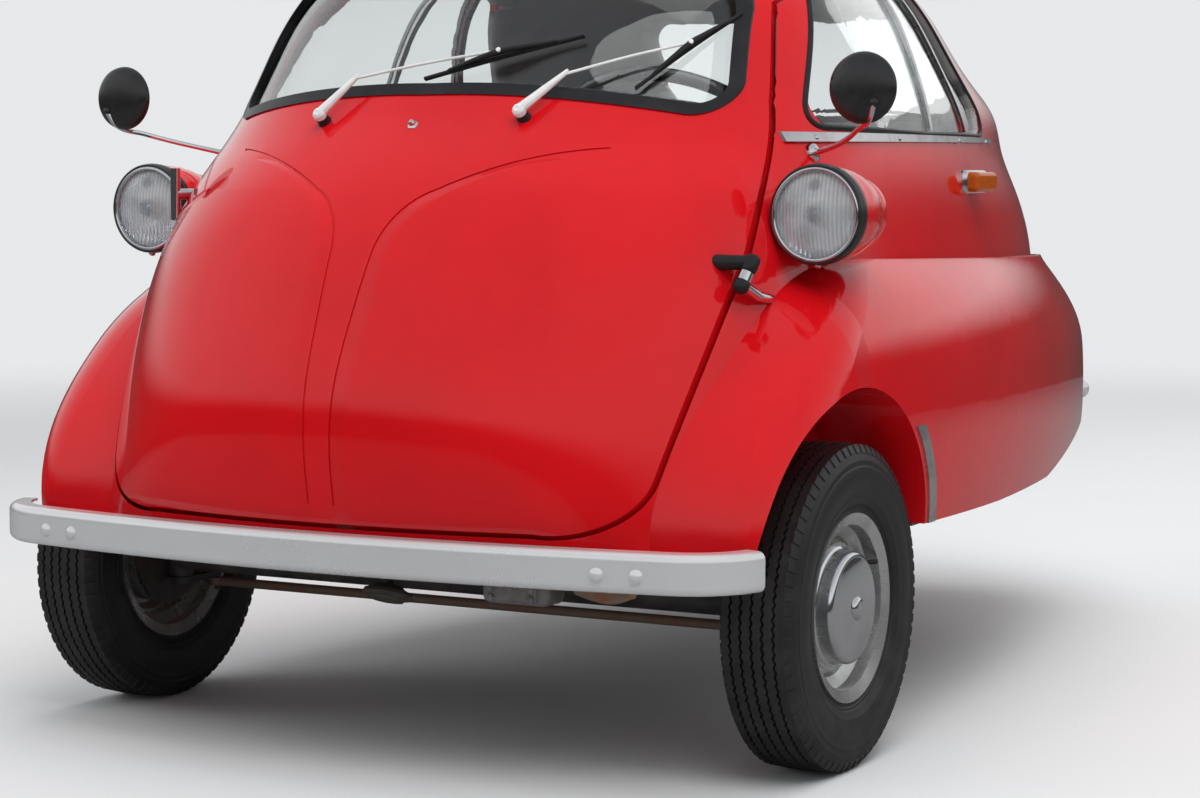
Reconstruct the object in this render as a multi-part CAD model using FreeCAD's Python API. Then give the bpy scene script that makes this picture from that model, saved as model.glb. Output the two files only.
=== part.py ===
import FreeCAD, Part
import math
import os

# Bubble car with one front door, two front wheels and one rear wheel.
# Millimetres. +X is the car's left, -Y its front, +Z up; the origin is on the ground under its middle.
# Fore and aft places are written as distances behind the front axle and turned into Y by aft().

V = FreeCAD.Vector
UP = V(0, 0, 1)
LEFT = V(1, 0, 0)
REARWARD = V(0, 1, 0)

# Overall layout
WHEELBASE = 1500.0
FRONT_TRACK = 1240.0
FRONT_OVERHANG = 445.0
REAR_OVERHANG = 410.0
FRONT_AXLE_Y = -(FRONT_OVERHANG + WHEELBASE + REAR_OVERHANG) / 2 + FRONT_OVERHANG

# Wheels and tyres
TYRE_R = 245.0
TYRE_HALF = 61.0
BEAD_R = 127.0
FLANGE_R = 141.0
RIM_HALF = 46.0
WELL_R = 110.0
RIM_T = 4.0
DISC_FACE = 24.0
HUB_R = 34.0
CAP_R = 90.0
CAP_FACE_R = 75.0
CAP_BOSS_R = 18.0

# Front suspension
KINGPIN_X = 560.0
KINGPIN_R = 10.0
SLEEVE_R = 20.0
SLEEVE_HALF = 38.0
STUB_R = 14.0
BEAM_R = 28.0
STEER_LIMIT = 30.0

# Body shell
WALL = 28.0
SEAM = 6.5
HOUSE_T = 6.0
ARCH_R = 266.0
ARCH_Y = -4.0
ARCH_Z = 306.0
WELL_DRUM_R = 264.0
WELL_DRUM_Z = 250.0
WELL_INNER_X = 420.0
WELL_SWEEP_R = 262.0
WELL_STEP_X = 525.0
WELL_OUTER_X = 800.0
SILL_Z = 336.0
BODY_JOINT_Z = 941.0

# Floor and frame
FLOOR_T = 12.0
RAIL_R = 26.0
RAIL_X = 300.0

# Glass
GLASS_T = 5.0
GLASS_DEPTH = 8.0
SEAL_W = 17.0
SEAL_LIP = 6.0
SEAL_PROUD = 3.0


def aft(distance):
    """Y of a place measured rearwards from the front axle."""
    return FRONT_AXLE_Y + distance


# Plan sections of the upper cell, one row a height.
# height, nose, half width, widest (behind the front axle), tail (behind the rear axle),
# radii: nose, front corner, front side, flank, rear corner, tail
CELL = [
    (270, -385, 620, 200, 190, 1500, 290, 1300, 4200, 330, 700),
    (340, -396, 620, 200, 205, 1500, 300, 1300, 4200, 340, 700),
    (455, -412, 618, 220, 220, 1300, 400, 1300, 4200, 360, 650),
    (556, -410, 612, 250, 222, 1100, 440, 1300, 4200, 380, 600),
    (671, -368, 602, 290, 190, 1000, 410, 1300, 4000, 410, 560),
    (773, -318, 588, 320, 130, 1000, 400, 1300, 4000, 430, 520),
    (850, -266, 580, 335, 95, 1000, 450, 1300, 3500, 440, 520),
    (930, -190, 568, 350, 55, 1000, 480, 1300, 3000, 450, 600),
    (1002, -121, 552, 370, -15, 1000, 454, 1300, 2800, 400, 600),
    (1100, -55, 520, 390, -110, 900, 400, 1300, 2000, 270, 600),
    (1180, 2, 478, 410, -230, 780, 350, 1200, 1700, 250, 560),
    (1250, 66, 410, 430, -380, 620, 290, 1000, 1300, 260, 500),
    (1295, 140, 320, 445, -560, 470, 230, 700, 900, 220, 420),
    (1319, 218, 230, 455, -700, 340, 160, 420, 540, 165, 320),
    (1331, 300, 150, 465, -820, 240, 110, 270, 370, 120, 230),
    (1334, 370, 80, 475, -920, 140, 60, 150, 200, 65, 130),
]

# Plan sections of the lower body with its front wings, in the same columns, with the fall of
# the section towards the tail, in degrees, as a last one.
WINGS = [
    (270, -296, 668, 150, 335, 7000, 70, 5000, 5200, 420, 1100, 0.0),
    (340, -304, 680, 150, 350, 7000, 70, 5000, 5200, 420, 1100, 0.0),
    (420, -290, 688, 150, 358, 7000, 80, 5000, 5200, 420, 1100, 0.4),
    (500, -252, 690, 150, 358, 6000, 95, 5000, 5200, 420, 1100, 1.0),
    (580, -200, 686, 160, 345, 4000, 115, 4500, 5200, 420, 1000, 1.6),
    (640, -155, 674, 175, 325, 3000, 130, 4000, 5200, 430, 900, 1.8),
    (690, -115, 652, 195, 290, 2200, 150, 3500, 5000, 430, 800, 1.7),
    (728, -85, 624, 230, 225, 1600, 170, 3000, 4800, 430, 720, 1.5),
    (752, 10, 600, 300, 150, 1100, 190, 3000, 4600, 430, 700, 1.2),
]


def arc(centre, start, end):
    """The shorter arc about centre from start to end."""
    radius = (start - centre).Length
    middle = (start - centre) + (end - centre)
    middle.normalize()
    return Part.Arc(start, centre + middle * radius, end).toShape()


def oval_quarter(half, depth, end_r, corner_r, side_r):
    """Centres and joints of three tangent arcs from (0, depth) round to (half, 0)."""
    end_c = V(0, depth - end_r, 0)
    side_c = V(half - side_r, 0, 0)
    gap = side_c - end_c
    span = gap.Length
    r1 = end_r - corner_r
    r2 = side_r - corner_r
    along = (r1 * r1 - r2 * r2 + span * span) / (2 * span)
    rise = math.sqrt(r1 * r1 - along * along)
    gap.normalize()
    normal = V(-gap.y, gap.x, 0)
    foot = end_c + gap * along
    choices = [foot + normal * rise, foot - normal * rise]
    corner_c = max(choices, key=lambda c: c.x + c.y)
    joint_1 = end_c + (corner_c - end_c).normalize() * end_r
    joint_2 = side_c + (corner_c - side_c).normalize() * side_r
    return end_c, corner_c, side_c, joint_1, joint_2


def plan_section(row, inset):
    """One closed plan outline of twelve tangent arcs, set in by inset all round."""
    height, nose, half, widest, tail = row[0:5]
    nose_r, corner_r, side_r, flank_r, tail_corner_r, tail_r = [r - inset for r in row[5:11]]
    half = half - inset
    fall = row[11] if len(row) > 11 else 0.0
    mid_y = aft(widest)
    front_depth = widest - nose - inset
    rear_depth = WHEELBASE + tail - widest - inset
    front = oval_quarter(half, front_depth, nose_r, corner_r, side_r)
    rear = oval_quarter(half, rear_depth, tail_r, tail_corner_r, flank_r)

    def place(point, x_sign, y_sign):
        return V(point.x * x_sign, mid_y + point.y * y_sign, height)

    def quarter(data, depth, x_sign, y_sign):
        end_c, corner_c, side_c, joint_1, joint_2 = data
        tip = V(0, depth, 0)
        side = V(half, 0, 0)
        steps = [(end_c, tip, joint_1), (corner_c, joint_1, joint_2), (side_c, joint_2, side)]
        return [[place(p, x_sign, y_sign) for p in step] for step in steps]

    def turned(steps):
        return [[c, b, a] for c, a, b in reversed(steps)]

    edges = quarter(front, front_depth, 1, -1) + turned(quarter(rear, rear_depth, 1, 1))
    edges = edges + quarter(rear, rear_depth, -1, 1) + turned(quarter(front, front_depth, -1, -1))
    wire = Part.Wire([arc(c, a, b) for c, a, b in edges])
    if fall:
        wire.rotate(V(0, mid_y, height), LEFT, -fall)
    return wire


def lowered(row, drop_top):
    """A row of the inner skin: the roof comes down as well as in."""
    height = row[0]
    share = max(0.0, (height - 1002.0) / 338.0)
    return (height - drop_top * share,) + tuple(row[1:])


LOFTS = {}


def cell_solid(inset):
    """The upper cell set in by inset; each is lofted once."""
    if inset not in LOFTS:
        rows = [lowered(row, inset) for row in CELL]
        LOFTS[inset] = Part.makeLoft([plan_section(row, inset) for row in rows], True, False)
    return LOFTS[inset]


def wings_solid(inset):
    """The lower body with its wings, set in by inset."""
    rows = WINGS
    if inset > 0:
        rows = [WINGS[0]] + [(r[0] - inset,) + tuple(r[1:]) for r in WINGS[1:]]
    return Part.makeLoft([plan_section(row, inset) for row in rows], True, False)


def box(x0, x1, y0, y1, z0, z1):
    return Part.makeBox(x1 - x0, y1 - y0, z1 - z0, V(x0, y0, z0))


def rod(start, end, radius):
    """A round bar between two points."""
    return Part.makeCylinder(radius, (end - start).Length, start, end - start)


def pipe(points, radius):
    """A round bar along straight runs with ball corners."""
    shape = rod(points[0], points[1], radius)
    for a, b in zip(points[1:], points[2:]):
        shape = shape.fuse(Part.makeSphere(radius, a)).fuse(rod(a, b, radius))
    return shape.removeSplitter()


def mirrored(shape):
    return shape.mirror(V(0, 0, 0), LEFT)


def both(shape):
    """The left piece and its mirror image as one shape of separate solids."""
    return Part.makeCompound([shape, mirrored(shape)])


def polygon_face(points):
    return Part.Face(Part.makePolygon(points + [points[0]]))


def rounded(points, radii):
    """A closed wire through corner points whose corners are rounded."""
    edges = []
    ends = []
    count = len(points)
    for i in range(count):
        before = (points[i - 1] - points[i]).normalize()
        after = (points[(i + 1) % count] - points[i]).normalize()
        half_angle = before.getAngle(after) / 2
        cut = radii[i] / math.tan(half_angle)
        centre = points[i] + (before + after).normalize() * (radii[i] / math.sin(half_angle))
        ends.append((points[i] + before * cut, centre, points[i] + after * cut))
    for i in range(count):
        start, centre, end = ends[i]
        edges.append(arc(centre, start, end))
        follow = ends[(i + 1) % count][0]
        if (follow - end).Length > 0.01:
            edges.append(Part.makeLine(end, follow))
    return Part.Wire(edges)


def prism(wire, direction):
    return Part.Face(wire).extrude(direction)


def grown(wire, amount):
    return wire.makeOffset2D(amount)


def loop(steps):
    """A closed wire from lines (two points) and arcs (three points)."""
    edges = []
    for step in steps:
        if len(step) == 2:
            edges.append(Part.makeLine(*step))
        else:
            edges.append(Part.Arc(*step).toShape())
    return Part.Wire(edges)


# Door hinge axis, leaning back as it rises so that it lies in the plane of the door's edge
HINGE_LOW = V(455, aft(-345), 326)
HINGE_HIGH = V(548, aft(-112), 742)
HINGE_DIR = (HINGE_HIGH - HINGE_LOW).normalize()
DOOR_WAY = V(0, HINGE_DIR.z, -HINGE_DIR.y).normalize()

# The door's edge on the hull, left half, as x, height and distance behind the front axle, from the foot up
SEAM_HALF = [
    [(330, 374, -361), (434, 392, -318), (480, 455, -270)],
    [(480, 455, -270), (511, 640, -167), (523, 766, -73)],
    [(523, 766, -73), (512, 880, 12), (483, 996, 96)],
    [(483, 996, 96), (470, 1060, 130), (447, 1150, 183)],
    [(447, 1150, 183), (395, 1243, 264), (290, 1284, 226)],
]
SEAM_TOP = (0, 1284, 116)
SEAM_FOOT = (0, 374, -399)
FRONT_START = aft(-600)
FRONT_REACH = V(0, 860, 0)
DOOR_REACH = DOOR_WAY * (930 / DOOR_WAY.y)


def seam_loop():
    """The door's outline drawn back along its way out onto a plane in front of the car."""
    slope = DOOR_WAY.z / DOOR_WAY.y

    def drawn(x, z, y_rel):
        return V(x, FRONT_START, z + (FRONT_START - aft(y_rel)) * slope)

    left = [[drawn(*p) for p in step] for step in SEAM_HALF]
    right = [[V(-p.x, p.y, p.z) for p in reversed(step)] for step in reversed(left)]
    low = [right[-1][-1], drawn(*SEAM_FOOT), left[0][0]]
    high = [left[-1][-1], drawn(*SEAM_TOP), right[0][0]]
    return loop([low] + left + [high] + right)


# The windscreen's opening in the door, in the same way
SCREEN_HALF = [
    [(0, 1005), (205, 999), (395, 975)],
    [(395, 975), (441, 987), (453, 1030)],
    [(453, 1030), (434, 1140)],
    [(434, 1140), (375, 1222), (270, 1256)],
    [(270, 1256), (136, 1262), (0, 1264)],
]


def screen_loop(y):
    left = [[V(x, y, z) for x, z in step] for step in SCREEN_HALF]
    right = [[V(-p.x, p.y, p.z) for p in reversed(step)] for step in reversed(left)]
    return loop(left + right)


seam_wire = seam_loop()
screen_wire = screen_loop(FRONT_START)

# Side window outline, as distance behind the front axle and height
SIDE_OUTLINE = [(138, 957), (302, 1218), (770, 1218), (972, 952)]
SIDE_RADII = [30, 50, 60, 40]


def side_wire(x):
    points = [V(x, aft(y), z) for y, z in SIDE_OUTLINE]
    return rounded(points, SIDE_RADII)


# Rear window outline, as x and height
REAR_WINDOW = [(330, 1000), (275, 1190)]
REAR_WINDOW_R = 60.0
rear_wire = rounded(
    [V(x * s, aft(900), z) for s, x, z in [
        (1, REAR_WINDOW[0][0], REAR_WINDOW[0][1]),
        (1, REAR_WINDOW[1][0], REAR_WINDOW[1][1]),
        (-1, REAR_WINDOW[1][0], REAR_WINDOW[1][1]),
        (-1, REAR_WINDOW[0][0], REAR_WINDOW[0][1])]],
    [REAR_WINDOW_R] * 4)

# Roof opening, in plan
ROOF_HALF = 300.0
ROOF_FRONT = 250.0
ROOF_REAR = 800.0
ROOF_CORNER_R = 70.0
roof_wire = rounded(
    [V(x, aft(y), 1200) for x, y in [
        (ROOF_HALF, ROOF_FRONT), (ROOF_HALF, ROOF_REAR),
        (-ROOF_HALF, ROOF_REAR), (-ROOF_HALF, ROOF_FRONT)]],
    [ROOF_CORNER_R] * 4)


def arched(radius, y_rel, z, x0, x1):
    """A round topped space with straight sides below its centre, along X."""
    drum = Part.makeCylinder(radius, x1 - x0, V(x0, aft(y_rel), z), LEFT)
    return drum.fuse(box(x0, x1, aft(y_rel) - radius, aft(y_rel) + radius, 0, z))


def wheel_well(extra):
    """The left wheel's space in the body, grown by extra for its sheet metal house."""
    step = WELL_STEP_X - extra
    arch = arched(ARCH_R + extra, ARCH_Y, ARCH_Z, step, WELL_OUTER_X)
    inner = arched(WELL_DRUM_R + extra, 0, WELL_DRUM_Z, WELL_INNER_X - extra, step + 10)
    sweep = Part.makeCylinder(WELL_SWEEP_R + extra, 600, V(KINGPIN_X, aft(0), 100), UP)
    return arch.fuse(inner.common(sweep))


# The sill line seen from the side: what lies under it is cut away
UNDERCUT = [(-700, 342), (300, 342), (650, SILL_Z), (1050, SILL_Z), (1690, 408), (2000, 430), (2000, 100), (-700, 100)]


# Engine hatch on the right flank, as distance behind the front axle and height
HATCH_OUTLINE = [(985, 405), (985, 610), (1400, 592), (1400, 418)]
HATCH_R = 35.0
HATCH_GAP = 6.0
HATCH_T = 9.0


def hatch_wire(grow):
    """The hatch's outline on the car's right, seen from the side."""
    points = [V(-300, aft(y), z) for y, z in HATCH_OUTLINE]
    wire = rounded(points, [HATCH_R] * 4)
    return grown(wire, grow) if grow else wire


# Pressed crease on each side of the door's middle, drawn from the front as x and height
CREASE_DEPTH = 2.0
CREASE_FOOT_Z = 402.0
CREASE_INNER = [
    [(24, CREASE_FOOT_Z), (26, 560), (38, 770)],
    [(38, 770), (62, 827), (107, 859)],
    [(107, 859), (205, 898), (330, 920)],
]
CREASE_OUTER = [
    [(330, 920), (330, 923.5)],
    [(330, 923.5), (204, 901.5), (105.5, 862)],
    [(105.5, 862), (59.5, 830), (34.5, 771)],
    [(34.5, 771), (22.5, 560), (20.5, CREASE_FOOT_Z)],
    [(20.5, CREASE_FOOT_Z), (24, CREASE_FOOT_Z)],
]
crease_wire = loop([[V(x, FRONT_START, z) for x, z in step] for step in CREASE_INNER + CREASE_OUTER])


def shell_pieces():
    """The lower and upper body, the door skin and the cabin's hollow, cut from one smooth hull."""
    cell_out = cell_solid(0)
    cell_in = cell_solid(WALL)
    outer = cell_out.fuse(wings_solid(0))
    hollow = cell_in.fuse(wings_solid(WALL))
    hollow = hollow.cut([wheel_well(HOUSE_T), mirrored(wheel_well(HOUSE_T))])
    well = wheel_well(0)
    under = polygon_face([V(-900, aft(y), z) for y, z in UNDERCUT]).extrude(V(1800, 0, 0))
    body = outer.cut([
        hollow,
        well,
        mirrored(well),
        under,
        prism(side_wire(-900), V(1800, 0, 0)),
        prism(rear_wire, V(0, 900, 0)),
        prism(roof_wire, V(0, 0, 300)),
        prism(hatch_wire(HATCH_GAP), V(-500, 0, 0)),
        prism(grown(seam_wire, SEAM), DOOR_REACH).cut(cell_in),
    ])
    above = box(-900, 900, aft(-600), aft(2100), BODY_JOINT_Z, 1500)
    upper = body.common(above)
    lower = body.cut(above)
    door = cell_out.common(prism(seam_wire, DOOR_REACH))
    crease = both(prism(crease_wire, V(0, 520, 0))).cut(cell_solid(CREASE_DEPTH))
    skin = door.cut([cell_in, prism(screen_wire, FRONT_REACH), crease])
    return lower, upper, skin, hollow, door, outer


def cell_band(outer_inset, inner_inset, window, reach):
    """A thin skin that follows the upper cell inside a window outline."""
    return cell_solid(outer_inset).cut(cell_solid(inner_inset)).common(prism(window, reach))


# Windscreen, side glass and rear window
def screen_pieces():
    seal = cell_band(-SEAL_PROUD, GLASS_DEPTH + 2 * GLASS_T, screen_wire, FRONT_REACH)
    seal = seal.cut(prism(grown(screen_wire, -SEAL_W), FRONT_REACH))
    glass = cell_band(GLASS_DEPTH, GLASS_DEPTH + GLASS_T, grown(screen_wire, -SEAL_LIP), FRONT_REACH)
    return seal.cut(glass), glass


def side_glass():
    return cell_band(GLASS_DEPTH, GLASS_DEPTH + GLASS_T, side_wire(-900), V(1800, 0, 0))


def rear_glass():
    return cell_band(GLASS_DEPTH, GLASS_DEPTH + GLASS_T, rear_wire, V(0, 900, 0))


# Sliding window channels: foot and head, as distance behind the front axle
CHANNELS = [(593, 593), (825, 700)]
CHANNEL_W = 14.0
CHANNEL_PROUD = 2.0
WINDOW_FOOT_Z = 957.0
WINDOW_HEAD_Z = 1222.0


def window_channels(glass):
    strips = []
    for foot, head in CHANNELS:
        points = [
            V(-900, aft(foot - CHANNEL_W / 2), WINDOW_FOOT_Z),
            V(-900, aft(foot + CHANNEL_W / 2), WINDOW_FOOT_Z),
            V(-900, aft(head + CHANNEL_W / 2), WINDOW_HEAD_Z),
            V(-900, aft(head - CHANNEL_W / 2), WINDOW_HEAD_Z),
        ]
        strips.append(polygon_face(points).extrude(V(1800, 0, 0)))
    band = cell_band(CHANNEL_PROUD, GLASS_DEPTH + 2 * GLASS_T, side_wire(-900), V(1800, 0, 0))
    return band.common(Part.makeCompound(strips)).cut(glass)


# Folding roof fabric
ROOF_LAP = 22.0
FABRIC_T = 6.0


def roof_fabric():
    lap = prism(grown(roof_wire, ROOF_LAP), V(0, 0, 300))
    return cell_solid(-FABRIC_T).cut(cell_solid(0)).common(lap)


# Bumpers: plan arcs of the outer face and one pressed channel section
BUMPER_NOSE = -445.0
BUMPER_R = 2931.0
BUMPER_BEND_X = 560.0
BUMPER_END_R = 132.8
BUMPER_END_ANGLE = 76.8
BUMPER_Z = 305.0
BUMPER_H = 58.0
BUMPER_DEPTH = 34.0
BUMPER_T = 4.0
BUMPER_ROUND = 12.0


def bumper_band(near, far, z0, z1):
    """The plan band between two depths behind the bumper's outer face."""
    centre = V(0, aft(BUMPER_NOSE + BUMPER_R), z0)
    bend = math.asin(BUMPER_BEND_X / BUMPER_R)
    outward = V(math.sin(bend), -math.cos(bend), 0)
    corner = centre + outward * (BUMPER_R - BUMPER_END_R)
    end = math.radians(BUMPER_END_ANGLE)
    half = (bend + end) / 2

    def heading(angle):
        return V(math.sin(angle), -math.cos(angle), 0)

    rims = []
    for depth in (near, far):
        r_main = BUMPER_R - depth
        r_end = BUMPER_END_R - depth
        tip = corner + heading(end) * r_end
        middle = corner + heading(half) * r_end
        joint = centre + outward * r_main
        nose = centre + V(0, -r_main, 0)
        rims.append((tip, middle, joint, nose))

    def left(p):
        return V(-p.x, p.y, p.z)

    tip, middle, joint, nose = rims[0]
    tip_2, middle_2, joint_2, nose_2 = rims[1]
    wire = loop([
        (tip, middle, joint), (joint, nose, left(joint)), (left(joint), left(middle), left(tip)),
        (left(tip), left(tip_2)),
        (left(tip_2), left(middle_2), left(joint_2)), (left(joint_2), nose_2, joint_2),
        (joint_2, middle_2, tip_2), (tip_2, tip),
    ])
    return Part.Face(wire).extrude(V(0, 0, z1 - z0))


def front_bumper():
    blade = bumper_band(0, BUMPER_DEPTH, BUMPER_Z, BUMPER_Z + BUMPER_H)
    edges = [e for e in blade.Edges if e.Length > 1000 and e.BoundBox.YMin < aft(BUMPER_NOSE + 1)]
    edges = [e for e in edges if e.BoundBox.ZLength < 1]
    blade = blade.makeFillet(BUMPER_ROUND, edges)
    hollow = bumper_band(BUMPER_T, BUMPER_DEPTH + 5, BUMPER_Z + BUMPER_T, BUMPER_Z + BUMPER_H - BUMPER_T)
    return blade.cut(hollow)


# Wheels, turned about X; profiles are (radius, distance outboard of the wheel's middle)
def turned(profile, centre, side):
    """A solid of revolution about the wheel's axle; side is 1 on the car's left and -1 on its right."""
    steps = []
    for step in profile:
        steps.append([V(centre.x + side * s, centre.y, centre.z + r) for r, s in step])
    return Part.Face(loop(steps)).revolve(centre, LEFT, 360)


def chain_of(points):
    """Line steps that join the points and close."""
    return [[a, b] for a, b in zip(points, points[1:] + points[:1])]


TREAD_HALF = 47.0
SHOULDER_R = 232.0


def tyre(centre, side):
    w = TYRE_HALF
    profile = [
        [(BEAD_R, -RIM_HALF + 4), (BEAD_R, RIM_HALF - 4)],
        [(BEAD_R, RIM_HALF - 4), (FLANGE_R + 4, RIM_HALF + 1)],
        [(FLANGE_R + 4, RIM_HALF + 1), (185, w), (SHOULDER_R, TREAD_HALF + 8)],
        [(SHOULDER_R, TREAD_HALF + 8), (TYRE_R - 3, TREAD_HALF)],
        [(TYRE_R - 3, TREAD_HALF), (TYRE_R, 0), (TYRE_R - 3, -TREAD_HALF)],
        [(TYRE_R - 3, -TREAD_HALF), (SHOULDER_R, -TREAD_HALF - 8)],
        [(SHOULDER_R, -TREAD_HALF - 8), (185, -w), (FLANGE_R + 4, -RIM_HALF - 1)],
        [(FLANGE_R + 4, -RIM_HALF - 1), (BEAD_R, -RIM_HALF + 4)],
    ]
    return turned(profile, centre, side)


DRUM_R = 84.0
DRUM_IN = -27.0
DRUM_OUT = 8.0
HUB_END = 24.0
BORE_GAP = 0.08


def rim(centre, side):
    """Wheel rim with its disc, hub and brake drum as one welded piece."""
    half = RIM_HALF
    t = RIM_T
    band = [
        (FLANGE_R, half + 1), (BEAD_R, half - 4), (BEAD_R, 22), (WELL_R, 12), (WELL_R, -12), (BEAD_R, -22),
        (BEAD_R, -half + 4), (FLANGE_R, -half - 1), (FLANGE_R, -half - 1 - t), (BEAD_R - t, -half + 2),
        (BEAD_R - t, -22 - t / 2), (WELL_R - t, -12 - t / 2), (WELL_R - t, 12 + t / 2),
        (BEAD_R - t, 22 + t / 2), (BEAD_R - t, half - 2), (FLANGE_R, half + 1 + t),
    ]
    disc = [
        (WELL_R, 8), (104, 10), (95, DISC_FACE), (STUB_R + BORE_GAP, DISC_FACE),
        (STUB_R + BORE_GAP, DRUM_IN), (DRUM_R, DRUM_IN), (DRUM_R, DRUM_OUT), (HUB_R, DRUM_OUT + 6),
        (HUB_R, DISC_FACE - t), (91, DISC_FACE - t), (100, 8 - t), (WELL_R, 8 - t),
    ]
    wheel = turned(chain_of(band), centre, side).fuse(turned(chain_of(disc), centre, side))
    return wheel.removeSplitter()


def hub_cap(centre, side):
    """Deep chromed cap with a nearly flat face and a low centre boss, seated on the wheel disc."""
    f = DISC_FACE
    profile = [
        [(CAP_R, f), (CAP_R, f + 3)],
        [(CAP_R, f + 3), (CAP_R - 4, f + 5)],
        [(CAP_R - 4, f + 5), (CAP_R - 6, f + 22)],
        [(CAP_R - 6, f + 22), (CAP_R - 9, f + 28), (CAP_FACE_R, f + 30)],
        [(CAP_FACE_R, f + 30), (48, f + 33), (CAP_BOSS_R, f + 34)],
        [(CAP_BOSS_R, f + 34), (15, f + 38), (8, f + 40)],
        [(8, f + 40), (0, f + 40)],
        [(0, f + 40), (0, f + 31.5)],
        [(0, f + 31.5), (CAP_BOSS_R, f + 31.5)],
        [(CAP_BOSS_R, f + 31.5), (48, f + 30.5), (CAP_FACE_R - 1, f + 27.5)],
        [(CAP_FACE_R - 1, f + 27.5), (CAP_R - 9, f + 22)],
        [(CAP_R - 9, f + 22), (CAP_R - 7, f + 3)],
        [(CAP_R - 7, f + 3), (CAP_R - 2, f + 1)],
        [(CAP_R - 2, f + 1), (CAP_R - 2, f)],
        [(CAP_R - 2, f), (CAP_R, f)],
    ]
    return turned(profile, centre, side)


WHEEL_X = FRONT_TRACK / 2
FRONT_HUB = V(WHEEL_X, aft(0), TYRE_R)
REAR_HUB = V(0, aft(WHEELBASE), TYRE_R)

# Left knuckle: ears about the kingpin, backing plate, stub axle and steering arm
EAR_T = 12.0
EAR_GAP = 2.0
PLATE_R = 86.0
PLATE_T = 6.0
PLATE_X = WHEEL_X + DRUM_IN - 5.0 - PLATE_T
ARM_Y = 100.0
ARM_HALF = 8.0
ARM_T = 10.0
ARM_PIN_R = 5.0
PIN_DROP = 24.0
ROD_EYE_R = 12.0
ROD_EYE_T = 12.0
TIE_ROD_R = 8.0
EYE_DROP = 3.0
LOOSE_EYE_GAP = 1.2
AXLE_Z = TYRE_R
EAR_LOW_Z = AXLE_Z - SLEEVE_HALF - EAR_GAP - EAR_T
EAR_HIGH_Z = AXLE_Z + SLEEVE_HALF + EAR_GAP


def knuckle():
    kingpin = V(KINGPIN_X, aft(0), 0)
    plate = rod(V(PLATE_X, aft(0), AXLE_Z), V(PLATE_X + PLATE_T, aft(0), AXLE_Z), PLATE_R)
    stub = rod(V(PLATE_X, aft(0), AXLE_Z), V(WHEEL_X + HUB_END, aft(0), AXLE_Z), STUB_R)
    pin = rod(kingpin + UP * (EAR_LOW_Z + 1), kingpin + UP * (EAR_HIGH_Z + EAR_T - 1), KINGPIN_R)
    shape = plate.fuse([stub, pin])
    for z in (EAR_LOW_Z, EAR_HIGH_Z):
        ear = Part.makeCylinder(SLEEVE_R - 2, EAR_T, kingpin + UP * z)
        web = box(KINGPIN_X, PLATE_X + 1, aft(-SLEEVE_R + 2), aft(SLEEVE_R - 2), z, z + EAR_T)
        shape = shape.fuse([ear, web])
    arm = box(KINGPIN_X - ARM_HALF, KINGPIN_X + ARM_HALF, aft(0), aft(ARM_Y), EAR_LOW_Z, EAR_LOW_Z + ARM_T)
    eye = Part.makeCylinder(ARM_HALF, ARM_T, V(KINGPIN_X, aft(ARM_Y), EAR_LOW_Z))
    ball_pin = Part.makeCylinder(ARM_PIN_R, PIN_DROP, V(KINGPIN_X, aft(ARM_Y), EAR_LOW_Z - PIN_DROP + 1))
    return shape.fuse([arm, eye, ball_pin]).removeSplitter()


def track_rod():
    top = EAR_LOW_Z - EYE_DROP
    z = top - ROD_EYE_T / 2
    shape = rod(V(-KINGPIN_X, aft(ARM_Y), z), V(KINGPIN_X, aft(ARM_Y), z), TIE_ROD_R)
    for x, gap in ((KINGPIN_X, BORE_GAP), (-KINGPIN_X, LOOSE_EYE_GAP)):
        eye = Part.makeCylinder(ROD_EYE_R, ROD_EYE_T, V(x, aft(ARM_Y), top - ROD_EYE_T))
        hole = Part.makeCylinder(ARM_PIN_R + gap, 60, V(x, aft(ARM_Y), top - 40))
        shape = shape.fuse(eye).cut(hole)
    return shape


# Frame: two rails, the front beam with its kingpin sleeves, and cross tubes
RAIL_Z = SILL_Z - RAIL_R
RAIL_FRONT = -20.0
RAIL_REAR = 1120.0
CROSS_TUBES = [440, RAIL_REAR]
IRON_T = 12.0
IRON_H = 22.0
IRON_Z = 311.0


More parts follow.
